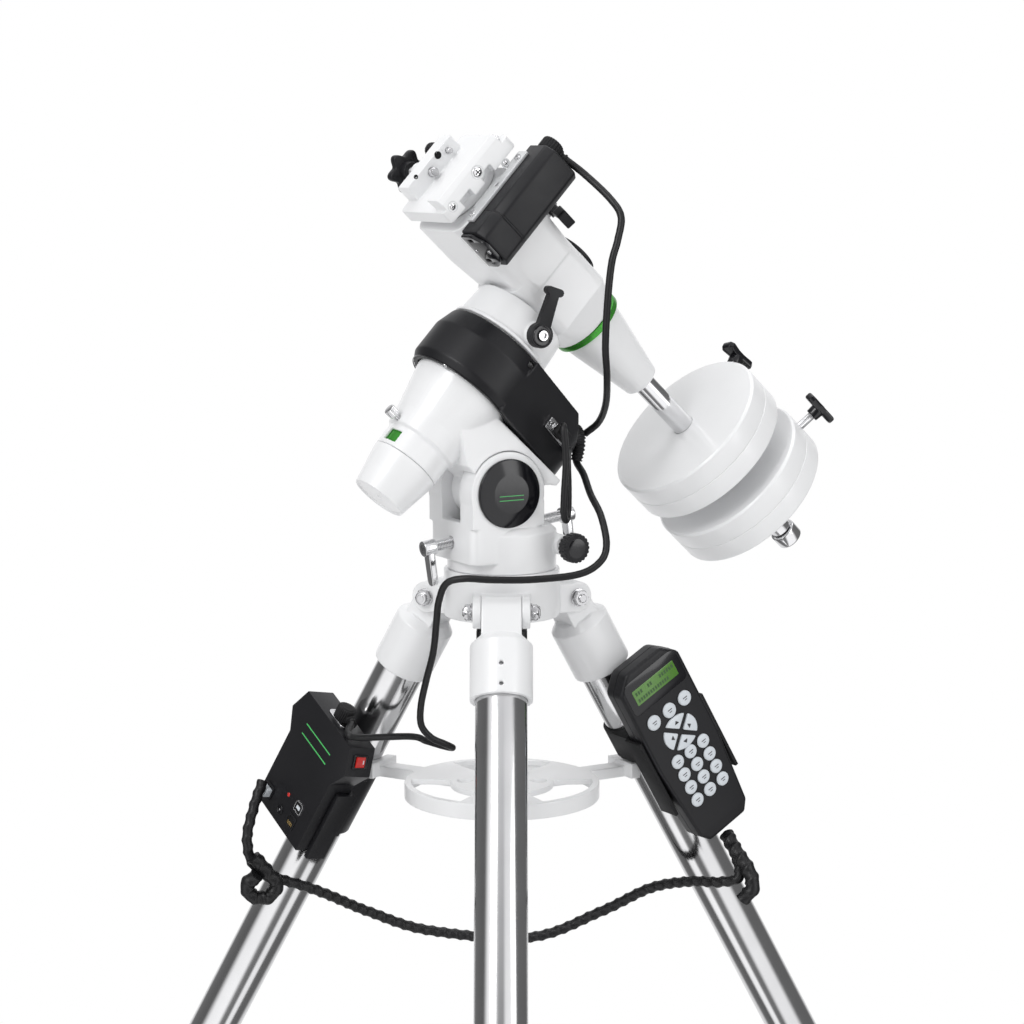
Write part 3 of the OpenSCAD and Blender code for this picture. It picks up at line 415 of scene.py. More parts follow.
# ---------- materials ----------
def surface(name, colour, metal=0.0, rough=0.4, grain=900.0, depth=0.02, vary=0.05, coat=0.0, streak=None, tint=None,
            shine=0.5):
    """Procedural finish: fine surface grain as bump, slow changes of shade and roughness, brushed streaks for metal."""
    mat = bpy.data.materials.new(name)
    mat.use_nodes = True
    nodes, links = mat.node_tree.nodes, mat.node_tree.links
    bsdf = nodes["Principled BSDF"]
    bsdf.inputs["Metallic"].default_value = metal
    bsdf.inputs["Specular IOR Level"].default_value = shine
    bsdf.inputs["Coat Weight"].default_value = coat
    bsdf.inputs["Coat Roughness"].default_value = 0.12
    place = nodes.new("ShaderNodeTexCoord").outputs["Object"]

    def noise(scale, detail, vector=place):
        n = nodes.new("ShaderNodeTexNoise")
        n.inputs["Scale"].default_value, n.inputs["Detail"].default_value = scale, detail
        links.new(vector, n.inputs["Vector"])
        return n.outputs["Fac"]

    slow = noise(28, 3)
    shade = nodes.new("ShaderNodeMix")
    shade.data_type = "RGBA"
    shade.inputs["A"].default_value = (*colour, 1)
    shade.inputs["B"].default_value = (*(tint or [c * (1 - vary * 2) for c in colour]), 1)
    links.new(slow, shade.inputs["Factor"])
    links.new(shade.outputs["Result"], bsdf.inputs["Base Color"])
    level = nodes.new("ShaderNodeMapRange")
    level.inputs["To Min"].default_value = rough * (1 - 2 * vary)
    level.inputs["To Max"].default_value = rough * (1 + 2 * vary)
    links.new(noise(60, 4), level.inputs["Value"])
    links.new(level.outputs["Result"], bsdf.inputs["Roughness"])
    height = noise(grain, 3)
    if streak:
        uv = nodes.new("ShaderNodeTexCoord").outputs["UV"]
        stretch = nodes.new("ShaderNodeMapping")
        stretch.inputs["Scale"].default_value = (*streak, 1)
        links.new(uv, stretch.inputs["Vector"])
        height = noise(1, 4, stretch.outputs["Vector"])
    bump = nodes.new("ShaderNodeBump")
    bump.inputs["Strength"].default_value = 0.35
    bump.inputs["Distance"].default_value = depth / 1000
    links.new(height, bump.inputs["Height"])
    links.new(bump.outputs["Normal"], bsdf.inputs["Normal"])
    return mat


WHITE = surface("white_enamel", (0.85, 0.855, 0.865), rough=0.3, grain=700, depth=0.06, vary=0.02, coat=0.35)
TUBE = surface("polished_tube", (0.70, 0.70, 0.705), 1, 0.15, depth=0.012, vary=0.08, streak=(140, 6))
STEEL = surface("turned_steel", (0.60, 0.60, 0.61), 1, 0.24, depth=0.006, vary=0.08, streak=(3, 3))
CHROME = surface("chrome", (0.80, 0.80, 0.81), 1, 0.09, grain=300, depth=0.004, vary=0.1)
BLACK = surface("moulded_black", (0.011, 0.011, 0.013), rough=0.4, grain=1400, depth=0.05, vary=0.1, shine=0.3)
GLOSS = surface("gloss_black", (0.006, 0.006, 0.008), rough=0.14, grain=400, depth=0.01, vary=0.06, coat=0.25, shine=0.35)
RUBBER = surface("black_rubber", (0.012, 0.012, 0.013), rough=0.6, grain=1100, depth=0.07, vary=0.08, shine=0.25)
CABLE = surface("cable_jacket", (0.010, 0.010, 0.011), rough=0.42, grain=1600, depth=0.05, vary=0.1, shine=0.35)
BRASS = surface("brass", (0.66, 0.47, 0.20), 1, 0.28, depth=0.008, vary=0.08, streak=(3, 3))
GREY = surface("bare_plate", (0.70, 0.71, 0.72), 0.35, 0.36, grain=900, depth=0.03, vary=0.04)
RED = surface("red_switch", (0.62, 0.02, 0.015), rough=0.28, grain=900, depth=0.02, vary=0.05, coat=0.4)
KEYS = surface("key_rubber", (0.66, 0.70, 0.74), rough=0.38, grain=900, depth=0.03, vary=0.03, coat=0.2)
INK = surface("printed_ink", (0.03, 0.03, 0.035), rough=0.5, grain=1500, depth=0.02, vary=0.1)
GREEN = surface("green_anodised", (0.06, 0.36, 0.04), 0.55, 0.26, depth=0.006, vary=0.05, streak=(4, 4))
LINE = surface("green_print", (0.08, 0.55, 0.14), rough=0.4, grain=1500, depth=0.01, vary=0.05)
SCREEN = surface("lcd_glass", (0.05, 0.15, 0.02), rough=0.12, grain=200, depth=0.003, vary=0.04, coat=0.5,
                 tint=(0.10, 0.26, 0.03))
# Flat near-black laid into holes, recesses, sockets and the handset seam: painted shade where shade falls in them.
PAINTED_SHADE = surface("painted_recess_shade", (0.008, 0.008, 0.009), rough=0.7, grain=900, depth=0.03, vary=0.1, shine=0.2)


def place(ob, name, body, mat, slot, *nodes, angle=38):
    """Names a piece, gives it its finish and makes it ride on its body in place of its CAD nodes."""
    ob.name = name
    ob.data.materials.clear()
    ob.data.materials.append(mat)
    ob.data.shade_smooth()
    if ob.get("soft"):
        m = ob.modifiers.new("even", "WEIGHTED_NORMAL")
        m.weight, m.keep_sharp = 80, False
    else:
        ob.data.set_sharp_from_angle(angle=math.radians(angle))
    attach(ob, body)
    if nodes:
        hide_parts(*nodes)
    return ob


# ---------- tripod ----------
place(cast(cad("tripod_hub"), 0.9, 4), "hub_casting", "tripod_head", WHITE, "white_paint", "tripod_hub")

bolts = []
for side in LEG:
    lie = LEG[side] @ turn(90, "X")
    flip = LEG[side] @ turn(-90, "X")
    bolts += [
        thread(4, -33.5, 33.5, 1.25, lie),
        lathe([(4.2, 24.8, 0), (8, 24.8, 0.3), (8, 26.2, 0.3), (4.2, 26.2, 0)], lie, 48, True),
        lathe([(4.2, 24.8, 0), (8, 24.8, 0.3), (8, 26.2, 0.3), (4.2, 26.2, 0)], flip, 48, True),
        hex_head(13, 5.3, lie @ move(z=26.3), 3.4),
        hex_head(13, 5.0, flip @ move(z=26.3)),
        lathe([(0, 31, 0), (5.6, 31, 0), (5.6, 33, 0.8), (4.1, 33.2, 0), (0, 33.2, 0)], flip, 48),
    ]
place(group(*bolts), "hinge_bolt_set", "tripod_head", STEEL, "polished_steel", "hinge_bolts")

rod_low, rod_high = span("lock_rod", HEAD)
knob_low = span("tripod_hub", HEAD)[0].z - 26
place(thread(6, rod_low.z, rod_high.z, 1.75, HEAD), "lock_rod_thread", "lock_screw", STEEL, "polished_steel", "lock_rod")
grip = group(
    loft(edge_rings(lobed(6, 25, 5), knob_low, knob_low + 15, 2.2), HEAD, 144),
    lathe([(0, knob_low + 14, 0), (14, knob_low + 14, 1), (13, knob_low + 23.9, 1), (0, knob_low + 23.9, 0)], HEAD),
)
place(grip, "lock_rod_grip", "lock_screw", BLACK, "black_plastic")
place(cast(cad("accessory_tray"), 0.8, 3), "tray_casting", "tray", WHITE, "white_paint", "accessory_tray")
low, high = span("tray_knob", HEAD)
nut = group(
    loft(edge_rings(lobed(6, 22.4, 4.4), low.z, low.z + 13, 2), HEAD, 144),
    lathe([(0, low.z + 12, 0), (12, low.z + 12, 1), (11.5, high.z, 1), (0, high.z, 0)], HEAD),
)
place(nut, "tray_nut_grip", "tray_nut", BLACK, "black_plastic", "tray_knob")


def wing_grip(at, reach, height):
    """T-shaped hand grip with faceted wings, on its collar above z = 0."""
    def wings(inset):
        tip, waist, wide = reach - inset, 5.4 - inset, 7.2 - inset
        corners = [(tip, -wide * 0.62), (tip, wide * 0.62), (tip * 0.8, wide), (3.4, waist), (-3.4, waist), (-tip * 0.8, wide)]
        corners += [(-x, -y) for x, y in corners[:2]] + [(-tip * 0.8, -wide), (-3.4, -waist), (3.4, -waist), (tip * 0.8, -wide)]

        def reach_at(a):
            d, best = Vector((math.cos(a), math.sin(a))), waist
            for p, q in zip(corners, corners[1:] + corners[:1]):
                e = (q[0] - p[0], q[1] - p[1])
                den = d.x * e[1] - d.y * e[0]
                if abs(den) > 1e-9:
                    t, k = (p[0] * e[1] - p[1] * e[0]) / den, (p[0] * d.y - p[1] * d.x) / den
                    if t > 0 and -1e-6 <= k <= 1 + 1e-6:
                        best = t
            return best
        return reach_at

    return group(
        loft(edge_rings(wings, height * 0.5, height, 1.8, 3), at, 144),
        lathe([(0, 0, 0), (reach * 0.36, 0, 0.6), (reach * 0.4, height * 0.62, 1), (0, height * 0.62, 0)], at, 72),
        lathe([(0, height - 0.4, 0), (3.4, height - 0.4, 0), (3.0, height + 0.2, 0.3), (0, height + 0.2, 0)], at, 48),
    )


for side in LEG:
    at = LEG[side]
    leg, sliding, screw = side + "_leg", side + "_extension", side + "_leg_screw"
    place(cast(cad(side + "_leg_casting"), 0.8, 4), side + "_leg_top", leg, WHITE, "white_paint", side + "_leg_casting")
    low, high = span(side + "_upper_tube", at)
    r = high.y
    tube = lathe([(r - 1.5, low.z, 0.3), (r, low.z, 0.6), (r, high.z, 0.6), (r - 1.5, high.z, 0.3)], at, 128, True)
    place(tube, side + "_upper_leg_tube", leg, TUBE, "polished_steel", side + "_upper_tube")
    place(bevelled(cad(side + "_leg_clamp"), 0.9), side + "_clamp_moulding", leg, BLACK, "black_plastic", side + "_leg_clamp")
    low, high = span(side + "_lower_leg", at)
    inner = lathe([(17.5, -742, 0.3), (19, -742, 0.5), (19, high.z, 0.5), (17.5, high.z, 0.3)], at, 128, True)
    place(inner, side + "_lower_leg_tube", sliding, TUBE, "polished_steel", side + "_lower_leg")
    foot_rings = [(0, low.z, 0), (20.6, low.z, 0)]
    for k in range(5):
        z = -764 + 3.6 * k
        foot_rings += [(21, z - 1.2, 0.3), (19.8, z - 0.6, 0.3), (19.8, z + 0.6, 0.3), (21, z + 1.2, 0.3)]
    foot_rings += [(21, -742.1, 0.8), (19.4, -742.02, 0), (0, -742.02, 0)]
    foot = lathe(foot_rings, at, 96)
    floor_cut = block(-900, 900, -900, 900, -400, 0, Matrix.Scale(0.001, 4), 1, 0.01)
    place(cut(foot, floor_cut), side + "_foot", sliding, RUBBER, "black_plastic")
    low, high = span(side + "_leg_knob", at)
    middle = (low.z + high.z) / 2
    head = at @ move(36, 0, middle) @ turn(90, "Y")
    place(thread(4, -15.5, 2, 1.25, head), side + "_clamp_screw", screw, STEEL, "polished_steel")
    place(wing_grip(head, 17, 20), side + "_clamp_grip", screw, BLACK, "black_plastic", side + "_leg_knob")

# ---------- azimuth base and fork ----------
place(cast(cad("base_casting"), 0.8, 3), "fork_casting", "azimuth_base", WHITE, "white_paint", "base_casting")
caps, rings = [], []
for a in (90, -90):
    at = ALT @ turn(a, "X")
    caps.append(lathe([(0, 40.1, 0), (30, 40.1, 0.2), (30, 42.6, 1.2), (17, 45.5, 1.5), (0, 45.5, 0)], at, 128))
    up = 1 if a == 90 else -1
    rings += [prism([rect(-12, 12, up * y - 0.28, up * y + 0.28)], 45.3, 45.56, at, 0.05, 1) for y in (-1.6, -5.4)]
place(group(*caps), "altitude_cap_discs", "azimuth_base", GLOSS, "black_plastic", "altitude_pivot")
place(group(*rings), "altitude_cap_lines", "azimuth_base", LINE, "green_anodised")

studs, knobs, ends = [], [], []
for a in (90, -90):
    at = PEG @ turn(a, "X")
    studs.append(thread(4, 6.2, 56.9, 1.25, at))
    flutes = lambda inset: lambda a: 13 - inset - 0.9 * (0.5 - 0.5 * math.cos(20 * a)) ** 2
    knobs += [
        loft(edge_rings(flutes, 54, 65, 1.2), at, 240),
        lathe([(4.1, 51, 0), (8, 51, 0.5), (8.4, 54.5, 0.5), (4.1, 54.5, 0)], at, 72, True),
    ]
    ends.append(lathe([(0, 64.4, 0), (9, 64.4, 0.2), (8.6, 65.02, 0.3), (0, 65.02, 0)], at, 72))
place(group(*studs), "azimuth_threads", "azimuth_studs", STEEL, "polished_steel", "azimuth_studs")
place(group(*knobs), "azimuth_grips", "azimuth_knobs", BLACK, "black_plastic", "azimuth_knobs")
place(group(*ends), "azimuth_grip_ends", "azimuth_knobs", GLOSS, "black_plastic")

at = TILT @ turn(90, "Y")
rods = group(thread(5, -69, -8.4, 1.5, at, 32), thread(5, 8.4, 83.2, 1.5, at, 32))
place(rods, "altitude_threads", "altitude_studs", CHROME, "chrome", "altitude_studs")
handles = []
for x in (-69, 71.2):
    handles += [
        lathe([(0, x, 0), (7, x, 0.8), (7, x + 12, 0.8), (0, x + 12, 0)], at, 72),
        prism([rounded([(-5, -4, 0.5), (-5, -34, 4.9), (5, -34, 4.9), (5, -4, 0.5)], True, 8)], 3, 9,
              TILT @ move(x) @ turn(90, "Z") @ turn(90, "X"), 1.0),
    ]
place(group(*handles), "altitude_handle_bars", "altitude_handles", CHROME, "chrome", "altitude_handles")

# ---------- fixed half of the polar head ----------
P = CROSS @ turn(90, "Y")  # turned parts about the polar axis: local z is p
place(cast(cad("ra_housing"), 0.8, 3), "polar_housing", "polar_body", WHITE, "white_paint", "ra_housing")
place(cast(cad("ra_motor_cover"), 0.7, 12, 0.3), "drive_cover", "polar_body", BLACK, "black_plastic", "ra_motor_cover")
lip = lathe([(50.2, -129.5, 0.3), (51, -129.5, 0.3), (51, -128.6, 0.2), (50.2, -128.6, 0.2)], P, 144, True)
place(lip, "drive_cover_rim", "polar_body", GLOSS, "black_plastic")
port = CROSS @ move(-103, -37.5, -76) @ turn(13.8, "X") @ turn(90, "X")
shell = [(-3.6, -11, 1.6), (3.6, -9.4, 1.6), (3.6, 9.4, 1.6), (-3.6, 11, 1.6)]
inner = [(x * 0.82, y * 0.92, r) for x, y, r in shell]
place(prism([rect(-5.5, 5.5, -15, 15, 1)], 1.5, 3.2, port, 0.3), "data_socket_plate", "polar_body", STEEL, "polished_steel")
place(prism([rounded(shell, True), rounded(inner, True)], 3, 8, port, 0.2), "data_socket_shell", "polar_body", CHROME, "chrome")
place(prism([rounded(inner, True)], 3, 6.2, port, 0.2), "data_socket_core", "polar_body", BLACK, "black_plastic")
jacks = group(*[hex_head(4.6, 3.2, port @ move(0, y, 3.1), 1.1) for y in (-12.6, 12.6)])
place(jacks, "data_socket_posts", "polar_body", CHROME, "chrome")
plug = CROSS @ move(-90, -14, -103) @ turn(130, "Y")
ribs = lambda inset: lambda a: 9.5 - inset - 0.5 * (0.5 - 0.5 * math.cos(24 * a)) ** 2
place(group(loft(edge_rings(ribs, 0, 11, 1.2), plug, 192), lathe([(0, 10.5, 0), (7, 10.5, 0.3), (6.6, 11.8, 0.8), (0, 11.8, 0)], plug, 96)),
      "drive_plug", "polar_body", RUBBER, "black_plastic")
screws = group(*[cross_screw(2.6, 1.4, P @ turn(a, "Z") @ move(49.5, 0, -129) @ turn(180, "Y")) for a in (-35, 60, 120, 215)])
place(screws, "drive_cover_screws", "polar_body", STEEL, "polished_steel")
place(bevelled(cad("ra_motor"), 0.6), "polar_motor", "polar_body", STEEL, "motor_steel", "ra_motor")
place(bevelled(cad("ra_worm"), 0.4), "polar_worm", "ra_worm", BRASS, "brass", "ra_worm")
low, high = span("date_circle", CROSS)
dates = lathe([(24, low.x, 0.2), (27.8, low.x, 0.3), (27.8, high.x, 0.3), (24, high.x, 0.2)], P, 144, True)
place(dates, "date_scale", "date_circle", GREEN, "green_anodised", "date_circle")
marks = [prism([rect(-0.2, 0.2, low.x + 0.7, low.x + (3.6 if k % 5 == 0 else 2.2))], 27.6, 27.86, P @ turn(6 * k, "Z") @ turn(90, "Z") @ turn(90, "X"), 0.04, 1)
         for k in range(60)]
place(group(*marks), "date_scale_marks", "date_circle", KEYS, "key_rubber")
index = CROSS @ move(-184, -4, 0)
knurl = lambda inset: lambda a: 5 - inset - 0.35 * (0.5 - 0.5 * math.cos(24 * a))
screw = group(loft(edge_rings(knurl, 38, 46, 0.8), index, 192), thread(2, 25, 38.5, 0.7, index))
place(screw, "date_index_screw", "date_screw", CHROME, "chrome", "date_screw")
low, high = span("polar_cap", CROSS)
cap = lathe([
    (0, -242, 0), (21.5, -242, 1), (27, -212, 0.5), (27, -208.4, 0.2), (30.9, -208.4, 0.4), (30.6, -212, 0.5),
    (24.4, low.x, 1.6), (22.8, -245.6, 0.6), (22.2, -244.4, 0.5), (2.4, -244.4, 0.3), (1.6, -243.2, 0.2), (0, -243.2, 0)
], P, 144)
place(cap, "polar_end_cap", "polar_cap", WHITE, "white_paint", "polar_cap")

# ---------- turning half of the polar head ----------
place(bevelled(cad("ra_shaft"), 0.5), "polar_shaft", "ra_body", STEEL, "polished_steel", "ra_shaft")
place(cast(cad("ra_upper_body"), 0.8, 3), "polar_flange", "ra_body", WHITE, "white_paint", "ra_upper_body")
place(cast(cad("dec_housing"), 0.8, 3), "declination_housing", "ra_body", WHITE, "white_paint", "dec_housing")
for node, body, head in (("ra_clutch_lever", "ra_clutch", CROSS @ move(-57, -47.1, -1) @ turn(90, "X")),
                         ("dec_clutch_lever", "dec_clutch",
                          CROSS @ turn(-20, "Z") @ move(41.1, 0, 52) @ turn(90, "Y"))):
    place(cast(cad(node), 0.4, 3, 0.4), node + "_moulding", body, BLACK, "black_plastic", node)
    collar = lathe([(5.2, 7.8, 0), (9.6, 7.8, 0.3), (8.6, 9.4, 0.6), (5.2, 9.4, 0.3)], head, 96, True)
    place(collar, node + "_collar", body, GLOSS, "black_plastic")
    place(socket_screw(4.8, 3.4, head @ move(z=7.6)), node + "_bolt", body, CHROME, "chrome")
pad = CROSS @ turn(-20, "Z") @ move(41.1, 0, 52) @ turn(90, "Y") @ turn(-75, "Z")
grip = group(block(21, 33.2, -9.2, 9.2, 2.6, 11.4, pad, 2.4, 1.2), block(8, 24, -5.6, 5.6, 2.8, 9.6, pad, 1.5, 1.2))
place(grip, "dec_clutch_lever_grip", "dec_clutch", BLACK, "black_plastic")
place(bevelled(cad("front_cap"), 0.6), "polar_front_cap", "front_cap", BLACK, "black_plastic", "front_cap")
low, high = span("dec_motor_box", CROSS)
SIDE = CROSS @ turn(90, "Z") @ turn(90, "X")  # flat outlines (y, q), depth along p
body_line = [(-42.6, 71, 0.6), (-42.6, 112, 0.6), (-68, 112, 4.5), (-75, 105, 4.5), (-75, 78, 4.5), (-68, 71, 4.5)]
case = group(
    prism([rounded(body_line, True)], -15.6, 58, SIDE, 1.4),
    prism([rounded([(y * 0.994 - 0.35, z, r) for y, z, r in body_line], True)], -16.6, -15.2, SIDE, 0.3),
    prism([rounded(body_line, True)], -41, -16.2, SIDE, 1.4),
)
place(case, "declination_drive_case", "ra_body", BLACK, "black_plastic", "dec_motor_box")
end_line = [(-42.8, 72.5, 2), (-42.8, 110.5, 2), (-60, 110.5, 10), (-74, 102, 9), (-74, 81, 9), (-60, 72.5, 10)]
slots = [rect(-58, -51, z, z + 2.4, 0.9) for z in (104, 80)]
end = prism([rounded(end_line, True, 8)] + slots, -44.6, -40.8, SIDE, 0.9)
place(end, "declination_drive_end", "ra_body", GLOSS, "black_plastic")
heads = group(*[cross_screw(2.2, 1.2, SIDE @ move(y, z, -44.4) @ turn(180, "X")) for y, z in ((-47.5, 92), (-69.5, 92))])
place(heads, "declination_drive_screws", "ra_body", STEEL, "polished_steel")
notched = [(-30, -52), (48, -52), (48, -38), (30, -38), (30, -42), (18, -42), (18, -36), (-16, -36), (-16, -41), (-30, -41)]
strip = prism([rounded([(x, y, 1) for x, y in notched], True), ring(10, -45.5, 2.2)], 112.1, 115, CROSS, 0.4)
place(strip, "drive_bracket", "ra_body", GREY, "motor_steel")
fixings = group(*[socket_screw(3.1, 2.6, CROSS @ move(x, -47, 114.9)) for x in (40, -24)])
place(fixings, "drive_bracket_screws", "ra_body", CHROME, "chrome")
elbow = CROSS @ move(58, -55, 101)
ribbed = lambda inset: lambda a: 10.2 - inset - 0.6 * (0.5 - 0.5 * math.cos(22 * a)) ** 2
boot = [(4.6 + (1.3 if k % 4 < 2 else 0) - 0.17 * k, 2.6 + 1.2 * k) for k in range(15)]
plug_body = group(
    loft(edge_rings(ribbed, 0, 12, 2.4), elbow @ turn(90, "Y"), 160),
    loft([(0, 0)] + boot + [(0, boot[-1][1])], elbow @ move(6, 0, 0) @ turn(-25, "X") @ turn(180, "X") @ move(z=2), 48),
)
place(plug_body, "declination_plug", "ra_body", RUBBER, "black_plastic")
place(lathe([(0, 4, 0), (13, 4, 1), (13, 50, 1), (0, 50, 0)], CROSS @ move(0, -58, 91) @ turn(90, "Y"), 96), "declination_motor", "ra_body", STEEL, "motor_steel")
place(bevelled(cad("dec_worm"), 0.4), "declination_worm", "dec_worm", BRASS, "brass", "dec_worm")

# ---------- declination assembly ----------
place(bevelled(cad("dec_shaft"), 0.5), "declination_shaft", "dec_body", STEEL, "polished_steel", "dec_shaft")
low, high = span("dec_circle", CROSS)
circle = lathe([(15.1, low.z, 0.2), (33.5, low.z, 0.5), (33.5, high.z, 0.5), (15.1, high.z, 0.2)], CROSS, 180, True)
place(circle, "declination_scale", "dec_body", GREEN, "green_anodised", "dec_circle")
marks = []
for k in range(72):
    tall = 3.2 if k % 6 == 0 else 1.8
    line = rect(-0.22, 0.22, high.z - 0.9 - tall, high.z - 0.9)
    marks.append(prism([line], 33.3, 33.56, CROSS @ turn(5 * k, "Z") @ turn(90, "Z") @ turn(90, "X"), 0.04, 1))
place(group(*marks), "declination_scale_marks", "dec_body", INK, "black_plastic")
place(cast(cad("saddle"), 0.6, 3), "saddle_casting", "dec_body", WHITE, "white_paint", "saddle")
sinks, screws, shade_patches = [], [], []
for p, q, r in ((7, 133, 4.6), (-30, 131, 3.2), (31, 118, 2.6)):
    at = CROSS @ move(p, -40.1, q) @ turn(90, "X")
    sinks.append(lathe([(0, -0.6, 0), (r + 1.6, -0.6, 0), (r + 1.6, 0.15, 0.1), (r * 0.9, -0.45, 0.1), (0, -0.5, 0)], at, 72))
    screws.append(cross_screw(r, 1.2, at @ move(z=-0.4)))
    # Dark cross in each screw recess: painted shade.
    shade_patches.append(prism([rounded([(x * r, y * r, 0) for x, y in (
        (0.6, 0.12), (0.12, 0.12), (0.12, 0.6), (-0.12, 0.6), (-0.12, 0.12), (-0.6, 0.12), (-0.6, -0.12), (-0.12, -0.12),
        (-0.12, -0.6), (0.12, -0.6), (0.12, -0.12), (0.6, -0.12))], True)], 0.3, 0.86, at, 0.03, 1))
# Dark discs on the far face stand for two holes: painted shade.
for p, q, r in ((14, 146, 3.4), (-14, 149, 2)):
    shade_patches.append(lathe([(0, 0, 0), (r, 0, 0), (r, 0.5, 0.1), (0, 0.5, 0)], CROSS @ move(p, 21.6, q) @ turn(90, "X"), 48))
screws.append(socket_screw(3.8, 3.6, CROSS @ move(40.9, -31, 136) @ turn(90, "Y")))
place(group(*sinks), "saddle_countersinks", "dec_body", GREY, "white_paint")
place(group(*screws), "saddle_screws", "dec_body", CHROME, "chrome")
place(group(*shade_patches), "saddle_hole_shade", "dec_body", PAINTED_SHADE, "black_plastic")
at = CROSS @ move(0, 58, 140) @ turn(-90, "X") @ turn(30, "Z")
star = group(
    loft(edge_rings(lobed(6, 19, 5.2), 5.6, 14, 2.0), at, 144),
    lathe([(0, 0, 0), (8, 0, 0.6), (9.5, 6, 0.6), (0, 6, 0)], at, 72),
)
place(star, "saddle_star_grip", "saddle_knob", BLACK, "black_plastic", "saddle_knob")
place(thread(4, -42, 1, 1.25, at), "saddle_clamp_thread", "saddle_knob", STEEL, "polished_steel")
at = CROSS @ move(24, 0, 141) @ turn(-90, "X")
knurl7 = lambda inset: lambda a: 7 - inset - 0.4 * (0.5 - 0.5 * math.cos(30 * a))
place(loft(edge_rings(knurl7, 44, 53, 1.4), at, 240), "safety_screw_head", "safety_screw", BLACK, "black_plastic", "safety_screw")
place(thread(2.5, 17, 44.5, 0.8, at), "safety_screw_thread", "safety_screw", STEEL, "polished_steel")
low, high = span("shaft_cone", CROSS)
cone = lathe([
    (0, -56.05, 0), (29, -56.05, 0.8), (29.5, -59, 1.5), (28, -70, 6), (18, -126, 3), (16.8, -133, 1.2),
    (14, -135, 0.6), (0, -135, 0)
], CROSS, 144)
place(cone, "shaft_cone_casting", "dec_body", WHITE, "white_paint", "shaft_cone")
low, high = span("counterweight_bar", CROSS)
bar = group(
    lathe([(0, low.z + 15, 0), (10, low.z + 15, 0.8), (10, -66, 0.8), (8, -66, 0), (8, -38, 0.6), (0, -38, 0)], CROSS, 128),
    lathe([(0, low.z, 0), (12.5, low.z, 1.6), (12.5, low.z + 14, 1.2), (6, low.z + 14, 0.3), (6, low.z + 16, 0),
           (0, low.z + 16, 0)], CROSS, 128),
)
place(bar, "counterweight_shaft", "dec_body", CHROME, "chrome", "counterweight_bar")
for which, direction in (("upper", 18), ("lower", -21)):
    low, high = span(which + "_weight", CROSS)
    r, mid = high.x, (low.z + high.z) / 2
    outline = [(10.1, low.z, 0.6), (r - 2, low.z, 1.0), (r, low.z + 2, 1.0), (r, mid - 0.6, 0.15), (r - 0.7, mid, 0.1),
               (r, mid + 0.6, 0.15), (r, high.z - 2, 1.0), (r - 2, high.z, 1.0), (10.1, high.z, 0.6)]
    weight = lathe(outline, CROSS, 192, True)
    place(weight, which + "_weight_casting", which + "_weight", WHITE, "white_paint", which + "_weight")
    at = CROSS @ move(z=mid) @ turn(direction, "Z") @ move(r + 14) @ turn(90, "Y")
    body = which + "_weight_knob"
    place(wing_grip(at, 17, 14), which + "_weight_grip", body, GLOSS, "black_plastic", which + "_weight_knob")
    place(thread(4, -r - 3, 1, 1.25, at), which + "_weight_screw", body, CHROME, "chrome")

# ---------- electronics ----------
place(bevelled(cad("control_box"), 1.6, 32, 3), "control_box_case", "left_leg", BLACK, "black_plastic", "control_box")
panel = BOX @ move(61.45, 12, 0) @ FACE
lines = group(*[prism([rect(-23.5, 22.5, v - 0.55, v + 0.55)], 0, 0.3, panel, 0.08, 1) for v in (36, 25.5)])
place(lines, "control_box_lines", "left_leg", LINE, "green_anodised")
place(lathe([(0, 0, 0), (1.9, 0, 0), (1.9, 0.7, 0.6), (0, 1.2, 0)], panel @ move(-1.6, -28.7), 32), "control_box_lamp", "left_leg", RED, "red_plastic")
usb = [(-6, -5.4, 1), (6, -5.4, 1), (6, 3.4, 1), (4, 5.6, 0.6), (-4, 5.6, 0.6), (-6, 3.4, 1)]
core = [(x * 0.84, y * 0.82, r * 0.6) for x, y, r in usb]
spot = panel @ move(17.6, -28.4)
place(prism([rounded(usb, True), rounded(core, True)], -0.4, 0.9, spot, 0.15), "data_port_shell", "left_leg", CHROME, "chrome")
# Dark plate inside the port opening: painted shade.
place(prism([rounded(core, True)], -0.6, 0.25, spot, 0.1), "data_port_shade", "left_leg", PAINTED_SHADE, "black_plastic")
place(prism([rect(-2.8, 2.8, -1.6, 1.6, 0.3)], 0, 0.7, spot, 0.1), "data_port_tongue", "left_leg", KEYS, "key_rubber")
jack = panel @ move(-3.2, -47.3)
place(lathe([(2.4, -0.6, 0), (4.6, -0.6, 0), (4.6, 1.2, 0.5), (3.1, 1.2, 0.4)], jack, 48, True), "power_socket", "left_leg", GLOSS, "black_plastic")
place(lathe([(0, -0.6, 0), (0.9, -0.6, 0), (0.9, 0.9, 0.4), (0, 1.0, 0)], jack, 24), "power_socket_pin", "left_leg", CHROME, "chrome")
shade_patches, frames = [], []
for u, v in ((16.5, -44.6), (-28, -44.6)):
    opening = [(-5.2, -5, 0.3), (5.2, -5, 0.3), (5.2, 3, 0.3), (3.2, 3, 0.2), (3.2, 4.6, 0.2), (-3.2, 4.6, 0.2), (-3.2, 3, 0.2), (-5.2, 3, 0.3)]
    at = panel @ move(u, v)
    frames.append(prism([rect(-6.8, 6.8, -6.6, 6.4, 0.8), rounded(opening, True)], -0.3, 1.0, at, 0.2))
    # Dark block inside each socket opening: painted shade.
    shade_patches.append(prism([rect(-5.6, 5.6, -5.4, 5, 0.3)], -0.3, 0.3, at, 0.1))
place(group(*frames), "line_socket_frames", "left_leg", BLACK, "black_plastic")
place(group(*shade_patches), "line_socket_shade_patches", "left_leg", PAINTED_SHADE, "black_plastic")
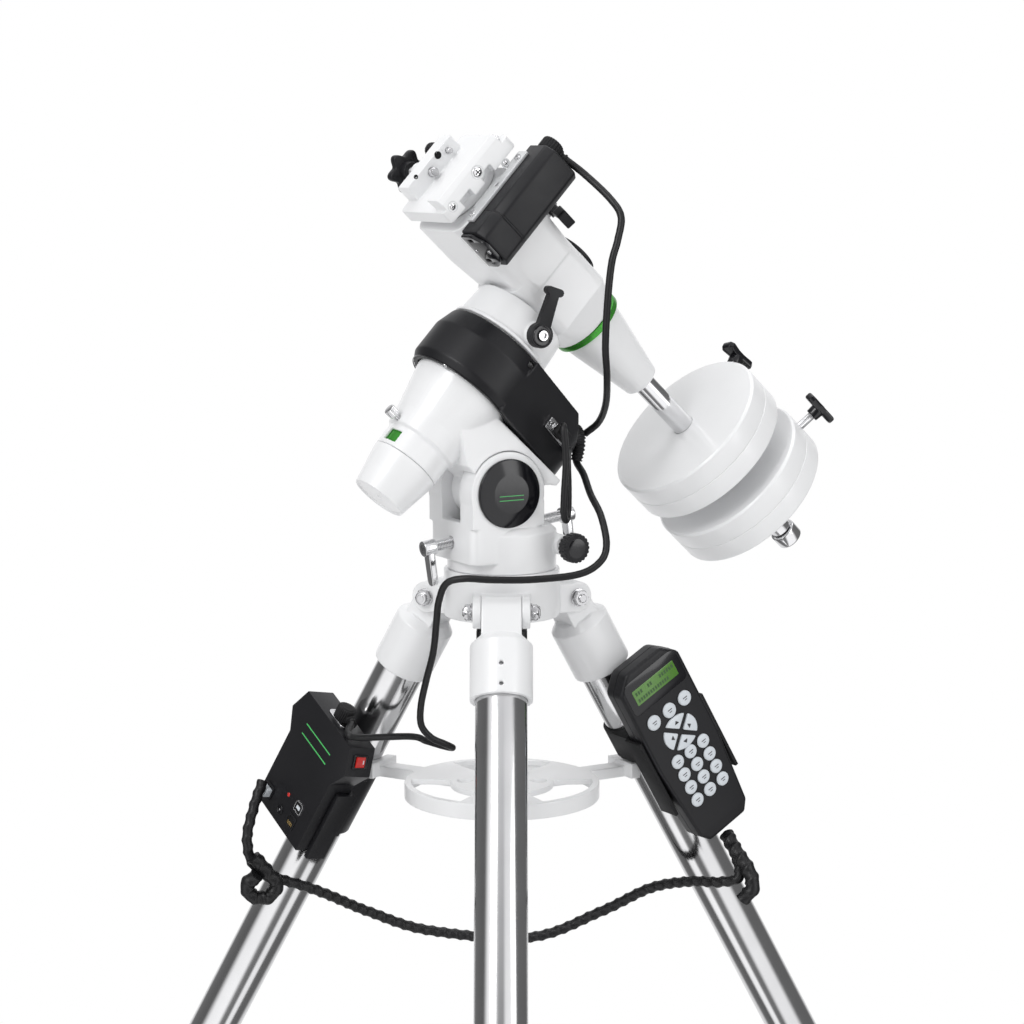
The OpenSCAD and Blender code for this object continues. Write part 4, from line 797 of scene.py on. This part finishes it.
contacts = group(*[prism([rect(16.5 + x - 0.25, 16.5 + x + 0.25, -48.6, -45.4)], 0.2, 0.7, panel, 0.08, 1) for x in (-3.5, -2.5, -1.5, -0.5, 0.5, 1.5, 2.5, 3.5)])
place(contacts, "line_socket_contacts", "left_leg", BRASS, "brass")
line_plug = prism([rect(-34, -23.2, -49.4, -41.4, 0.8)], 0.2, 7, panel, 0.5)
place(line_plug, "line_plug", "left_leg", KEYS, "key_rubber")

top = BOX @ move(47.5, 12, 59.5)
flange = prism([rounded([(-8, -14, 5), (8, -14, 5), (8, 14, 5), (-8, 14, 5)], True, 8), ring(0, 0, 6)], -0.1, 1.3, top, 0.3)
place(flange, "drive_port_flange", "left_leg", CHROME, "chrome")
place(group(*[cross_screw(1.9, 1.1, top @ move(0, y, 1.2)) for y in (-11.2, 11.2)]), "drive_port_screws", "left_leg", STEEL, "polished_steel")
grip9 = lambda inset: lambda a: 8.8 - inset - 0.5 * (0.5 - 0.5 * math.cos(26 * a)) ** 2
relief = [(3.6 + (1.2 if k % 4 < 2 else 0) - 0.1 * k, 6 + 0.95 * k) for k in range(13)]
head = group(
    loft(edge_rings(grip9, 1.2, 14, 1.4), top, 208),
    lathe([(0, 13.4, 0), (7, 13.4, 0.2), (6.4, 14.6, 0.8), (0, 14.6, 0)], top, 96),
    loft([(0, 6)] + relief + [(0, relief[-1][1])], top @ move(z=7) @ turn(-90, "X"), 48),
)
place(head, "drive_port_plug", "left_leg", RUBBER, "black_plastic")
switch_face = BOX @ move(47.5, 12 + 46.25, 47.5) @ turn(-67.2, "X")
bezel = prism([rect(-8, 8, -6.6, 6.6, 1.2), rect(-5.55, 5.55, -4.95, 4.95, 0.3)], -0.4, 1.1, switch_face, 0.35)
place(bezel, "switch_bezel", "left_leg", GLOSS, "black_plastic")
place(bevelled(cad("power_switch"), 0.5), "rocker", "switch", RED, "red_plastic", "power_switch")
mark = prism([rect(-3.9, -2.7, -1.8, 1.8, 0.2)], 0, 0.25, switch_face @ move(0, 0, 0.85) @ turn(-2.2, "Y"), 0.05, 1)
place(mark, "rocker_mark", "switch", KEYS, "key_rubber")

low, high = span("hand_controller", HANDSET)
front = HANDSET @ move(low.x, (low.y + high.y) / 2, 0) @ FACE
shape = [(-22, -94, 5), (22, -94, 5), (29.5, -84, 7), (36, -6, 60), (36, 80, 8), (21, 94, 10), (-21, 94, 10), (-36, 80, 8),
         (-36, -6, 60), (-29.5, -84, 7)]
place(prism([rounded(shape, True, 8)], 0, 26, front, 3.6, 5), "handset_case", "handset", BLACK, "black_plastic", "hand_controller")
seam = [(x * 1.004, y * 1.002, r) for x, y, r in shape]
# Dark band round the case where its halves meet: painted shade in the seam.
place(prism([rounded(seam, True, 8)], 12.4, 13, front, 0.2), "handset_seam_shade", "handset", PAINTED_SHADE, "black_plastic")
glass = prism([rounded([(-32, 54, 5), (32, 54, 5), (32, 87, 9), (-32, 87, 9)], True, 6)], 25.6, 26.5, front, 0.35)
place(glass, "handset_window", "handset", GLOSS, "black_plastic")
place(prism([rect(-25, 25, 62.5, 77.5, 0.6)], 26.3, 26.75, front, 0.12), "handset_screen", "handset", SCREEN, "green_anodised")
rows = group(*[prism([rect(x, x + 1.9, y, y + 3.4)], 26.7, 26.85, front, 0.03, 1)
               for y in (64.6, 71.4) for x in [-22.6 + 2.9 * k for k in range(16)] if int(x * 7 + y) % 5])
place(rows, "handset_screen_cells", "handset", surface("lcd_cells", (0.03, 0.09, 0.02), rough=0.3, depth=0.003), "green_anodised")


def key_cap(u, v, r):
    return lathe([(0, 25, 0), (r, 25, 0), (r, 27.0, 0.5), (r - 1.2, 27.9, 0.8), (0, 28.1, 0)], front @ move(u, v), 48)


caps, marks, collars = [], [], []
for u, v, r in [(16 * c, -7 - 14.5 * k, 6.5) for k in range(4) for c in (-1, 0, 1)] + [(19 * c, 39.5, 7) for c in (-1, 0, 1)]:
    caps.append(key_cap(u, v, r))
    collars.append(lathe([(r + 0.2, 25.7, 0), (r + 1.0, 25.7, 0), (r + 1.0, 26.5, 0.3), (r + 0.2, 26.5, 0.2)], front @ move(u, v), 48, True))
    marks.append(prism([rect(u - 2.4, u + 2.4, v + 0.5, v + 1.3)], 27.9, 28.16, front, 0.04, 1))
    marks.append(prism([rect(u - 1.4, u + 1.4, v - 1.6, v - 0.9)], 27.9, 28.16, front, 0.04, 1))
pad = front @ move(0, 15.5)
for k in range(4):
    a0 = 45 + 90 * k
    arc = [(3.2, 0)] + [(18.6 * math.cos(t), 16.2 * math.sin(t)) for t in [math.radians(-38 + 76 * i / 12) for i in range(13)]]
    if k % 2:
        arc = [(3.2, 0)] + [(16.2 * math.cos(t), 18.6 * math.sin(t)) for t in [math.radians(-38 + 76 * i / 12) for i in range(13)]]
    caps.append(prism([rounded([(x, y, 1.2) for x, y in arc], True, 3)], 25, 27.9, pad @ turn(90 * k, "Z"), 0.7))
    marks.append(prism([rounded([(9, -2.6, 0.3), (12.4, 0, 0.3), (9, 2.6, 0.3)], True)], 27.8, 28.05, pad @ turn(90 * k, "Z"), 0.04, 1))
place(group(*caps), "handset_keys", "key_mat", KEYS, "key_rubber", "keypad")
place(group(*marks), "handset_key_marks", "key_mat", INK, "black_plastic")
place(group(*collars), "handset_key_rims", "handset", GLOSS, "black_plastic")
place(bevelled(cad("hand_cradle"), 1.0), "handset_cradle", "right_leg", RUBBER, "black_plastic", "hand_cradle")


# ---------- cables ----------
def spiral(turns_pitch, r, rib):
    """Radius of a cable in a spiral wrap."""
    return lambda s, a: r + rib * (0.5 + 0.5 * math.cos(TAU * (s / turns_pitch) - a)) ** 2


def box_at(x, y, z):
    return BOX @ Vector((x, y, z))


def cross_at(p, f, q):
    return CROSS @ Vector((p, f, q))


def head_at(n, f, z):
    return HEAD @ Vector((n, f, z))


def lead(path, radius, name, a, b, start, end, *nodes):
    """A cable swept along a path in place of its CAD nodes; the bodies a and b and the points start and end are not
    used.
    """
    ob = sweep(path, radius, seg=20)
    ob.name = name
    ob.data.materials.append(CABLE)
    ob.data.shade_smooth()
    if nodes:
        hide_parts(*nodes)
    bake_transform(ob)


plain = lambda s, a: 0.0031 + 0.00004 * math.sin(s * 900)
dec_line = [cross_at(*v) for v in (
    (64.6, -61, 88), (63.4, -74, 69), (57, -95, 47), (48, -108, 35), (30, -112, 26), (12, -113, 18), (-13, -112, -1),
    (-38, -101, -31), (-50, -83, -60), (-58, -55, -90), (-66, -30, -109), (-78, -16, -113))]
lead(smooth_path(dec_line, 12), plain, "declination_lead", "ra_body", "polar_body", dec_line[5], dec_line[9], "dec_cable")
control_line = [cross_at(-83, -14, -110), cross_at(-92, -14, -118), cross_at(-101, -14, -123.4)] + [head_at(*v) for v in (
    (62, -36, 779), (57, -56, 764), (54, -78, 748), (49, -95, 726), (40, -99, 712), (22, -93, 702), (-13, -76, 698),
    (-44, -60, 698), (-64, -48, 699), (-75, -36, 694), (-76, -24, 677), (-73, -14, 658), (-66, 5, 627), (-62, 26, 597),
    (-60, 40, 571), (-57, 45, 552), (-48, 43, 540), (-35, 41, 533), (-26, 44, 528), (-30, 53, 528), (-44, 60, 533),
    (-58, 64, 538))] + [box_at(58, 46, 66), box_at(49, 27, 66.5), box_at(47.5, 22, 66.5)]
lead(smooth_path(control_line, 12), plain, "control_lead", "azimuth_base", "tripod_head", control_line[4], control_line[10],
     "control_cable")
boot = lambda s, a: 0.0056 - 0.05 * s + (0.0009 if int(s / 0.0016) % 2 else 0)
place(sweep(resampled(smooth_path(control_line[:3], 12), 0.0004), boot, seg=20), "drive_plug_boot", "polar_body", RUBBER,
      "black_plastic")
loop_line = [cross_at(-103, -48, -78)] + [head_at(*v) for v in (
    (22, -68, 826), (24, -69, 798), (23, -68, 768), (25, -64, 750), (30, -60, 744), (34, -56, 752), (33, -58, 772),
    (31, -60, 796))] + [cross_at(-99, -20, -106)]
place(sweep(smooth_path(loop_line, 12), plain, seg=20), "data_lead_loop", "polar_body", CABLE, "cable_jacket")
hood = prism([rounded([(-5, -9, 2), (5, -8, 2), (5, 8, 2), (-5, 9, 2)], True)], 6, 13, port, 1.2)
place(hood, "data_plug_hood", "polar_body", RUBBER, "black_plastic")
lead_line = [box_at(70, -20, -38)] + [Vector(v) / 1000 for v in (
    (-226, 48, 468), (-232, 40, 440), (-226, 42, 414), (-206, 50, 400), (-182, 58, 390), (-160, 72, 377), (-124, 98, 353),
    (-69, 118, 329), (26, 122, 321), (92, 112, 349), (138, 92, 378), (173, 66, 392), (200, 44, 398), (216, 36, 408),
    (207, 62, 441))]
lead_path = resampled(smooth_path(lead_line, 16), 0.0008)
place(sweep(lead_path, spiral(0.011, 0.0044, 0.0009), seg=20), "handset_lead", "tripod_head", CABLE, "cable_jacket",
      "handset_cable")
for name, points in (
        ("handset_coil", ((-226, 36, 424), (-214, 40, 408), (-206, 44, 396), (-214, 44, 384), (-228, 40, 386), (-232, 36, 398),
                          (-222, 32, 408))),
        ("handset_end_coil", ((206, 60, 438), (214, 44, 426), (224, 32, 412), (227, 26, 398), (218, 28, 386)))):
    coil = resampled(smooth_path([Vector(v) / 1000 for v in points], 16), 0.0008)
    place(sweep(coil, spiral(0.011, 0.0062, 0.0011), seg=24), name, "tripod_head", CABLE, "cable_jacket")

# ---------- camera, light and floor ----------
camera = bpy.data.objects.new("camera", bpy.data.cameras.new("camera"))
bpy.context.scene.collection.objects.link(camera)
camera.location = (0.009, -2.25, 1.07)
camera.rotation_euler = (math.radians(90 - 8.2), 0, 0)
camera.data.sensor_width, camera.data.lens = 36, 36 * 2590 / 1024
camera.data.clip_start, camera.data.clip_end = 0.05, 50
bpy.context.scene.camera = camera


def soft_light(name, at, aim, size, power):
    lamp = bpy.data.lights.new(name, "AREA")
    lamp.shape, lamp.size, lamp.size_y, lamp.energy = "RECTANGLE", size[0], size[1], power
    ob = bpy.data.objects.new(name, lamp)
    ob.location = at
    ob.rotation_euler = (Vector(aim) - Vector(at)).to_track_quat("-Z", "Y").to_euler()
    bpy.context.scene.collection.objects.link(ob)


soft_light("key", (-1.5, -1.9, 2.5), (0, 0, 0.8), (1.0, 1.4), 30)
soft_light("fill", (2.1, -1.2, 1.3), (0, 0, 0.7), (0.8, 1.8), 9)
soft_light("top", (0.1, 0.3, 2.9), (0, 0, 0.8), (1.4, 1.4), 14)

# The studio as light sees it: even for matt paint, and soft boxes with dark gaps between them for reflections
world = bpy.data.worlds.new("studio")
bpy.context.scene.world = world
world.use_nodes = True
wn, wl = world.node_tree.nodes, world.node_tree.links


def world_node(kind, **settings):
    node = wn.new(kind)
    for key, value in settings.items():
        setattr(node, key, value)
    return node


spread = world_node("ShaderNodeSeparateXYZ")
wl.new(wn.new("ShaderNodeTexCoord").outputs["Generated"], spread.inputs["Vector"])
angle = world_node("ShaderNodeMath", operation="ARCTAN2")
wl.new(spread.outputs["X"], angle.inputs[0])
away = world_node("ShaderNodeMath", operation="MULTIPLY")
away.inputs[1].default_value = -1
wl.new(spread.outputs["Y"], away.inputs[0])
wl.new(away.outputs["Value"], angle.inputs[1])
around = world_node("ShaderNodeMapRange")
around.inputs["From Min"].default_value, around.inputs["From Max"].default_value = -math.pi, math.pi
wl.new(angle.outputs["Value"], around.inputs["Value"])
ramp = world_node("ShaderNodeValToRGB").color_ramp
stops = [(-180, 0.95), (-150, 0.9), (-136, 0.2), (-84, 0.14), (-66, 1.3), (-28, 1.4), (-14, 0.26), (12, 0.2), (26, 1.25),
         (64, 1.2), (78, 0.18), (136, 0.16), (152, 0.8), (180, 0.95)]
ramp.elements[0].position, ramp.elements[1].position = 0, 1
for i, (degrees, level) in enumerate(stops):
    stop = ramp.elements[0] if i == 0 else ramp.elements[-1] if i == len(stops) - 1 else ramp.elements.new((degrees + 180) / 360)
    stop.color = (level, level, level * 1.01, 1)
bands = [n for n in wn if n.type == "VALTORGB"][0]
wl.new(around.outputs["Result"], bands.inputs["Fac"])
above = world_node("ShaderNodeMapRange")
above.inputs["From Min"].default_value, above.inputs["From Max"].default_value = 0.55, 0.85
wl.new(spread.outputs["Z"], above.inputs["Value"])
mirror = world_node("ShaderNodeMix", data_type="RGBA")
mirror.inputs["B"].default_value = (0.9, 0.9, 0.92, 1)
wl.new(above.outputs["Result"], mirror.inputs["Factor"])
wl.new(bands.outputs["Color"], mirror.inputs["A"])
glossy, plain_light, seen = wn["Background"], world_node("ShaderNodeBackground"), world_node("ShaderNodeBackground")
wl.new(mirror.outputs["Result"], glossy.inputs["Color"])
plain_light.inputs["Color"].default_value = (1, 1, 1, 1)
plain_light.inputs["Strength"].default_value = 0.7
seen.inputs["Color"].default_value = (1, 1, 1, 1)
ray, lit, shown = world_node("ShaderNodeLightPath"), world_node("ShaderNodeMixShader"), world_node("ShaderNodeMixShader")
wl.new(ray.outputs["Is Glossy Ray"], lit.inputs["Fac"])
wl.new(plain_light.outputs["Background"], lit.inputs[1])
wl.new(glossy.outputs["Background"], lit.inputs[2])
wl.new(ray.outputs["Is Camera Ray"], shown.inputs["Fac"])
wl.new(lit.outputs["Shader"], shown.inputs[1])
wl.new(seen.outputs["Background"], shown.inputs[2])
wl.new(shown.outputs["Shader"], wn["World Output"].inputs["Surface"])
bpy.context.scene.view_settings.view_transform = "Standard"

# Pale floor that runs out into the white of the studio behind the tripod
FLOOR = surface("studio_floor", (0.86, 0.86, 0.86), rough=0.6, grain=200, depth=0.05, vary=0.01)
fn, fl = FLOOR.node_tree.nodes, FLOOR.node_tree.links
reach = fn.new("ShaderNodeVectorMath")
reach.operation = "LENGTH"
fl.new(fn.new("ShaderNodeNewGeometry").outputs["Position"], reach.inputs[0])
fade = fn.new("ShaderNodeMapRange")
fade.inputs["From Min"].default_value, fade.inputs["From Max"].default_value = 0.5, 0.8
fl.new(reach.outputs["Value"], fade.inputs["Value"])
eye = fn.new("ShaderNodeLightPath")
both = fn.new("ShaderNodeMath")
both.operation = "MULTIPLY"
fl.new(fade.outputs["Result"], both.inputs[0])
fl.new(eye.outputs["Is Camera Ray"], both.inputs[1])
glow, blend = fn.new("ShaderNodeEmission"), fn.new("ShaderNodeMixShader")
glow.inputs["Color"].default_value = (1, 1, 1, 1)
fl.new(both.outputs["Value"], blend.inputs["Fac"])
fl.new(fn["Principled BSDF"].outputs["BSDF"], blend.inputs[1])
fl.new(glow.outputs["Emission"], blend.inputs[2])
clear, shown_in_mirror = fn.new("ShaderNodeBsdfTransparent"), fn.new("ShaderNodeMixShader")
fl.new(eye.outputs["Is Glossy Ray"], shown_in_mirror.inputs["Fac"])
fl.new(blend.outputs["Shader"], shown_in_mirror.inputs[1])
fl.new(clear.outputs["BSDF"], shown_in_mirror.inputs[2])
fl.new(shown_in_mirror.outputs["Shader"], fn["Material Output"].inputs["Surface"])
floor = block(-6000, 6000, -6000, 6000, -20, 0, Matrix.Scale(0.001, 4), 400, 2)
floor.name = "floor"
floor.data.materials.append(FLOOR)
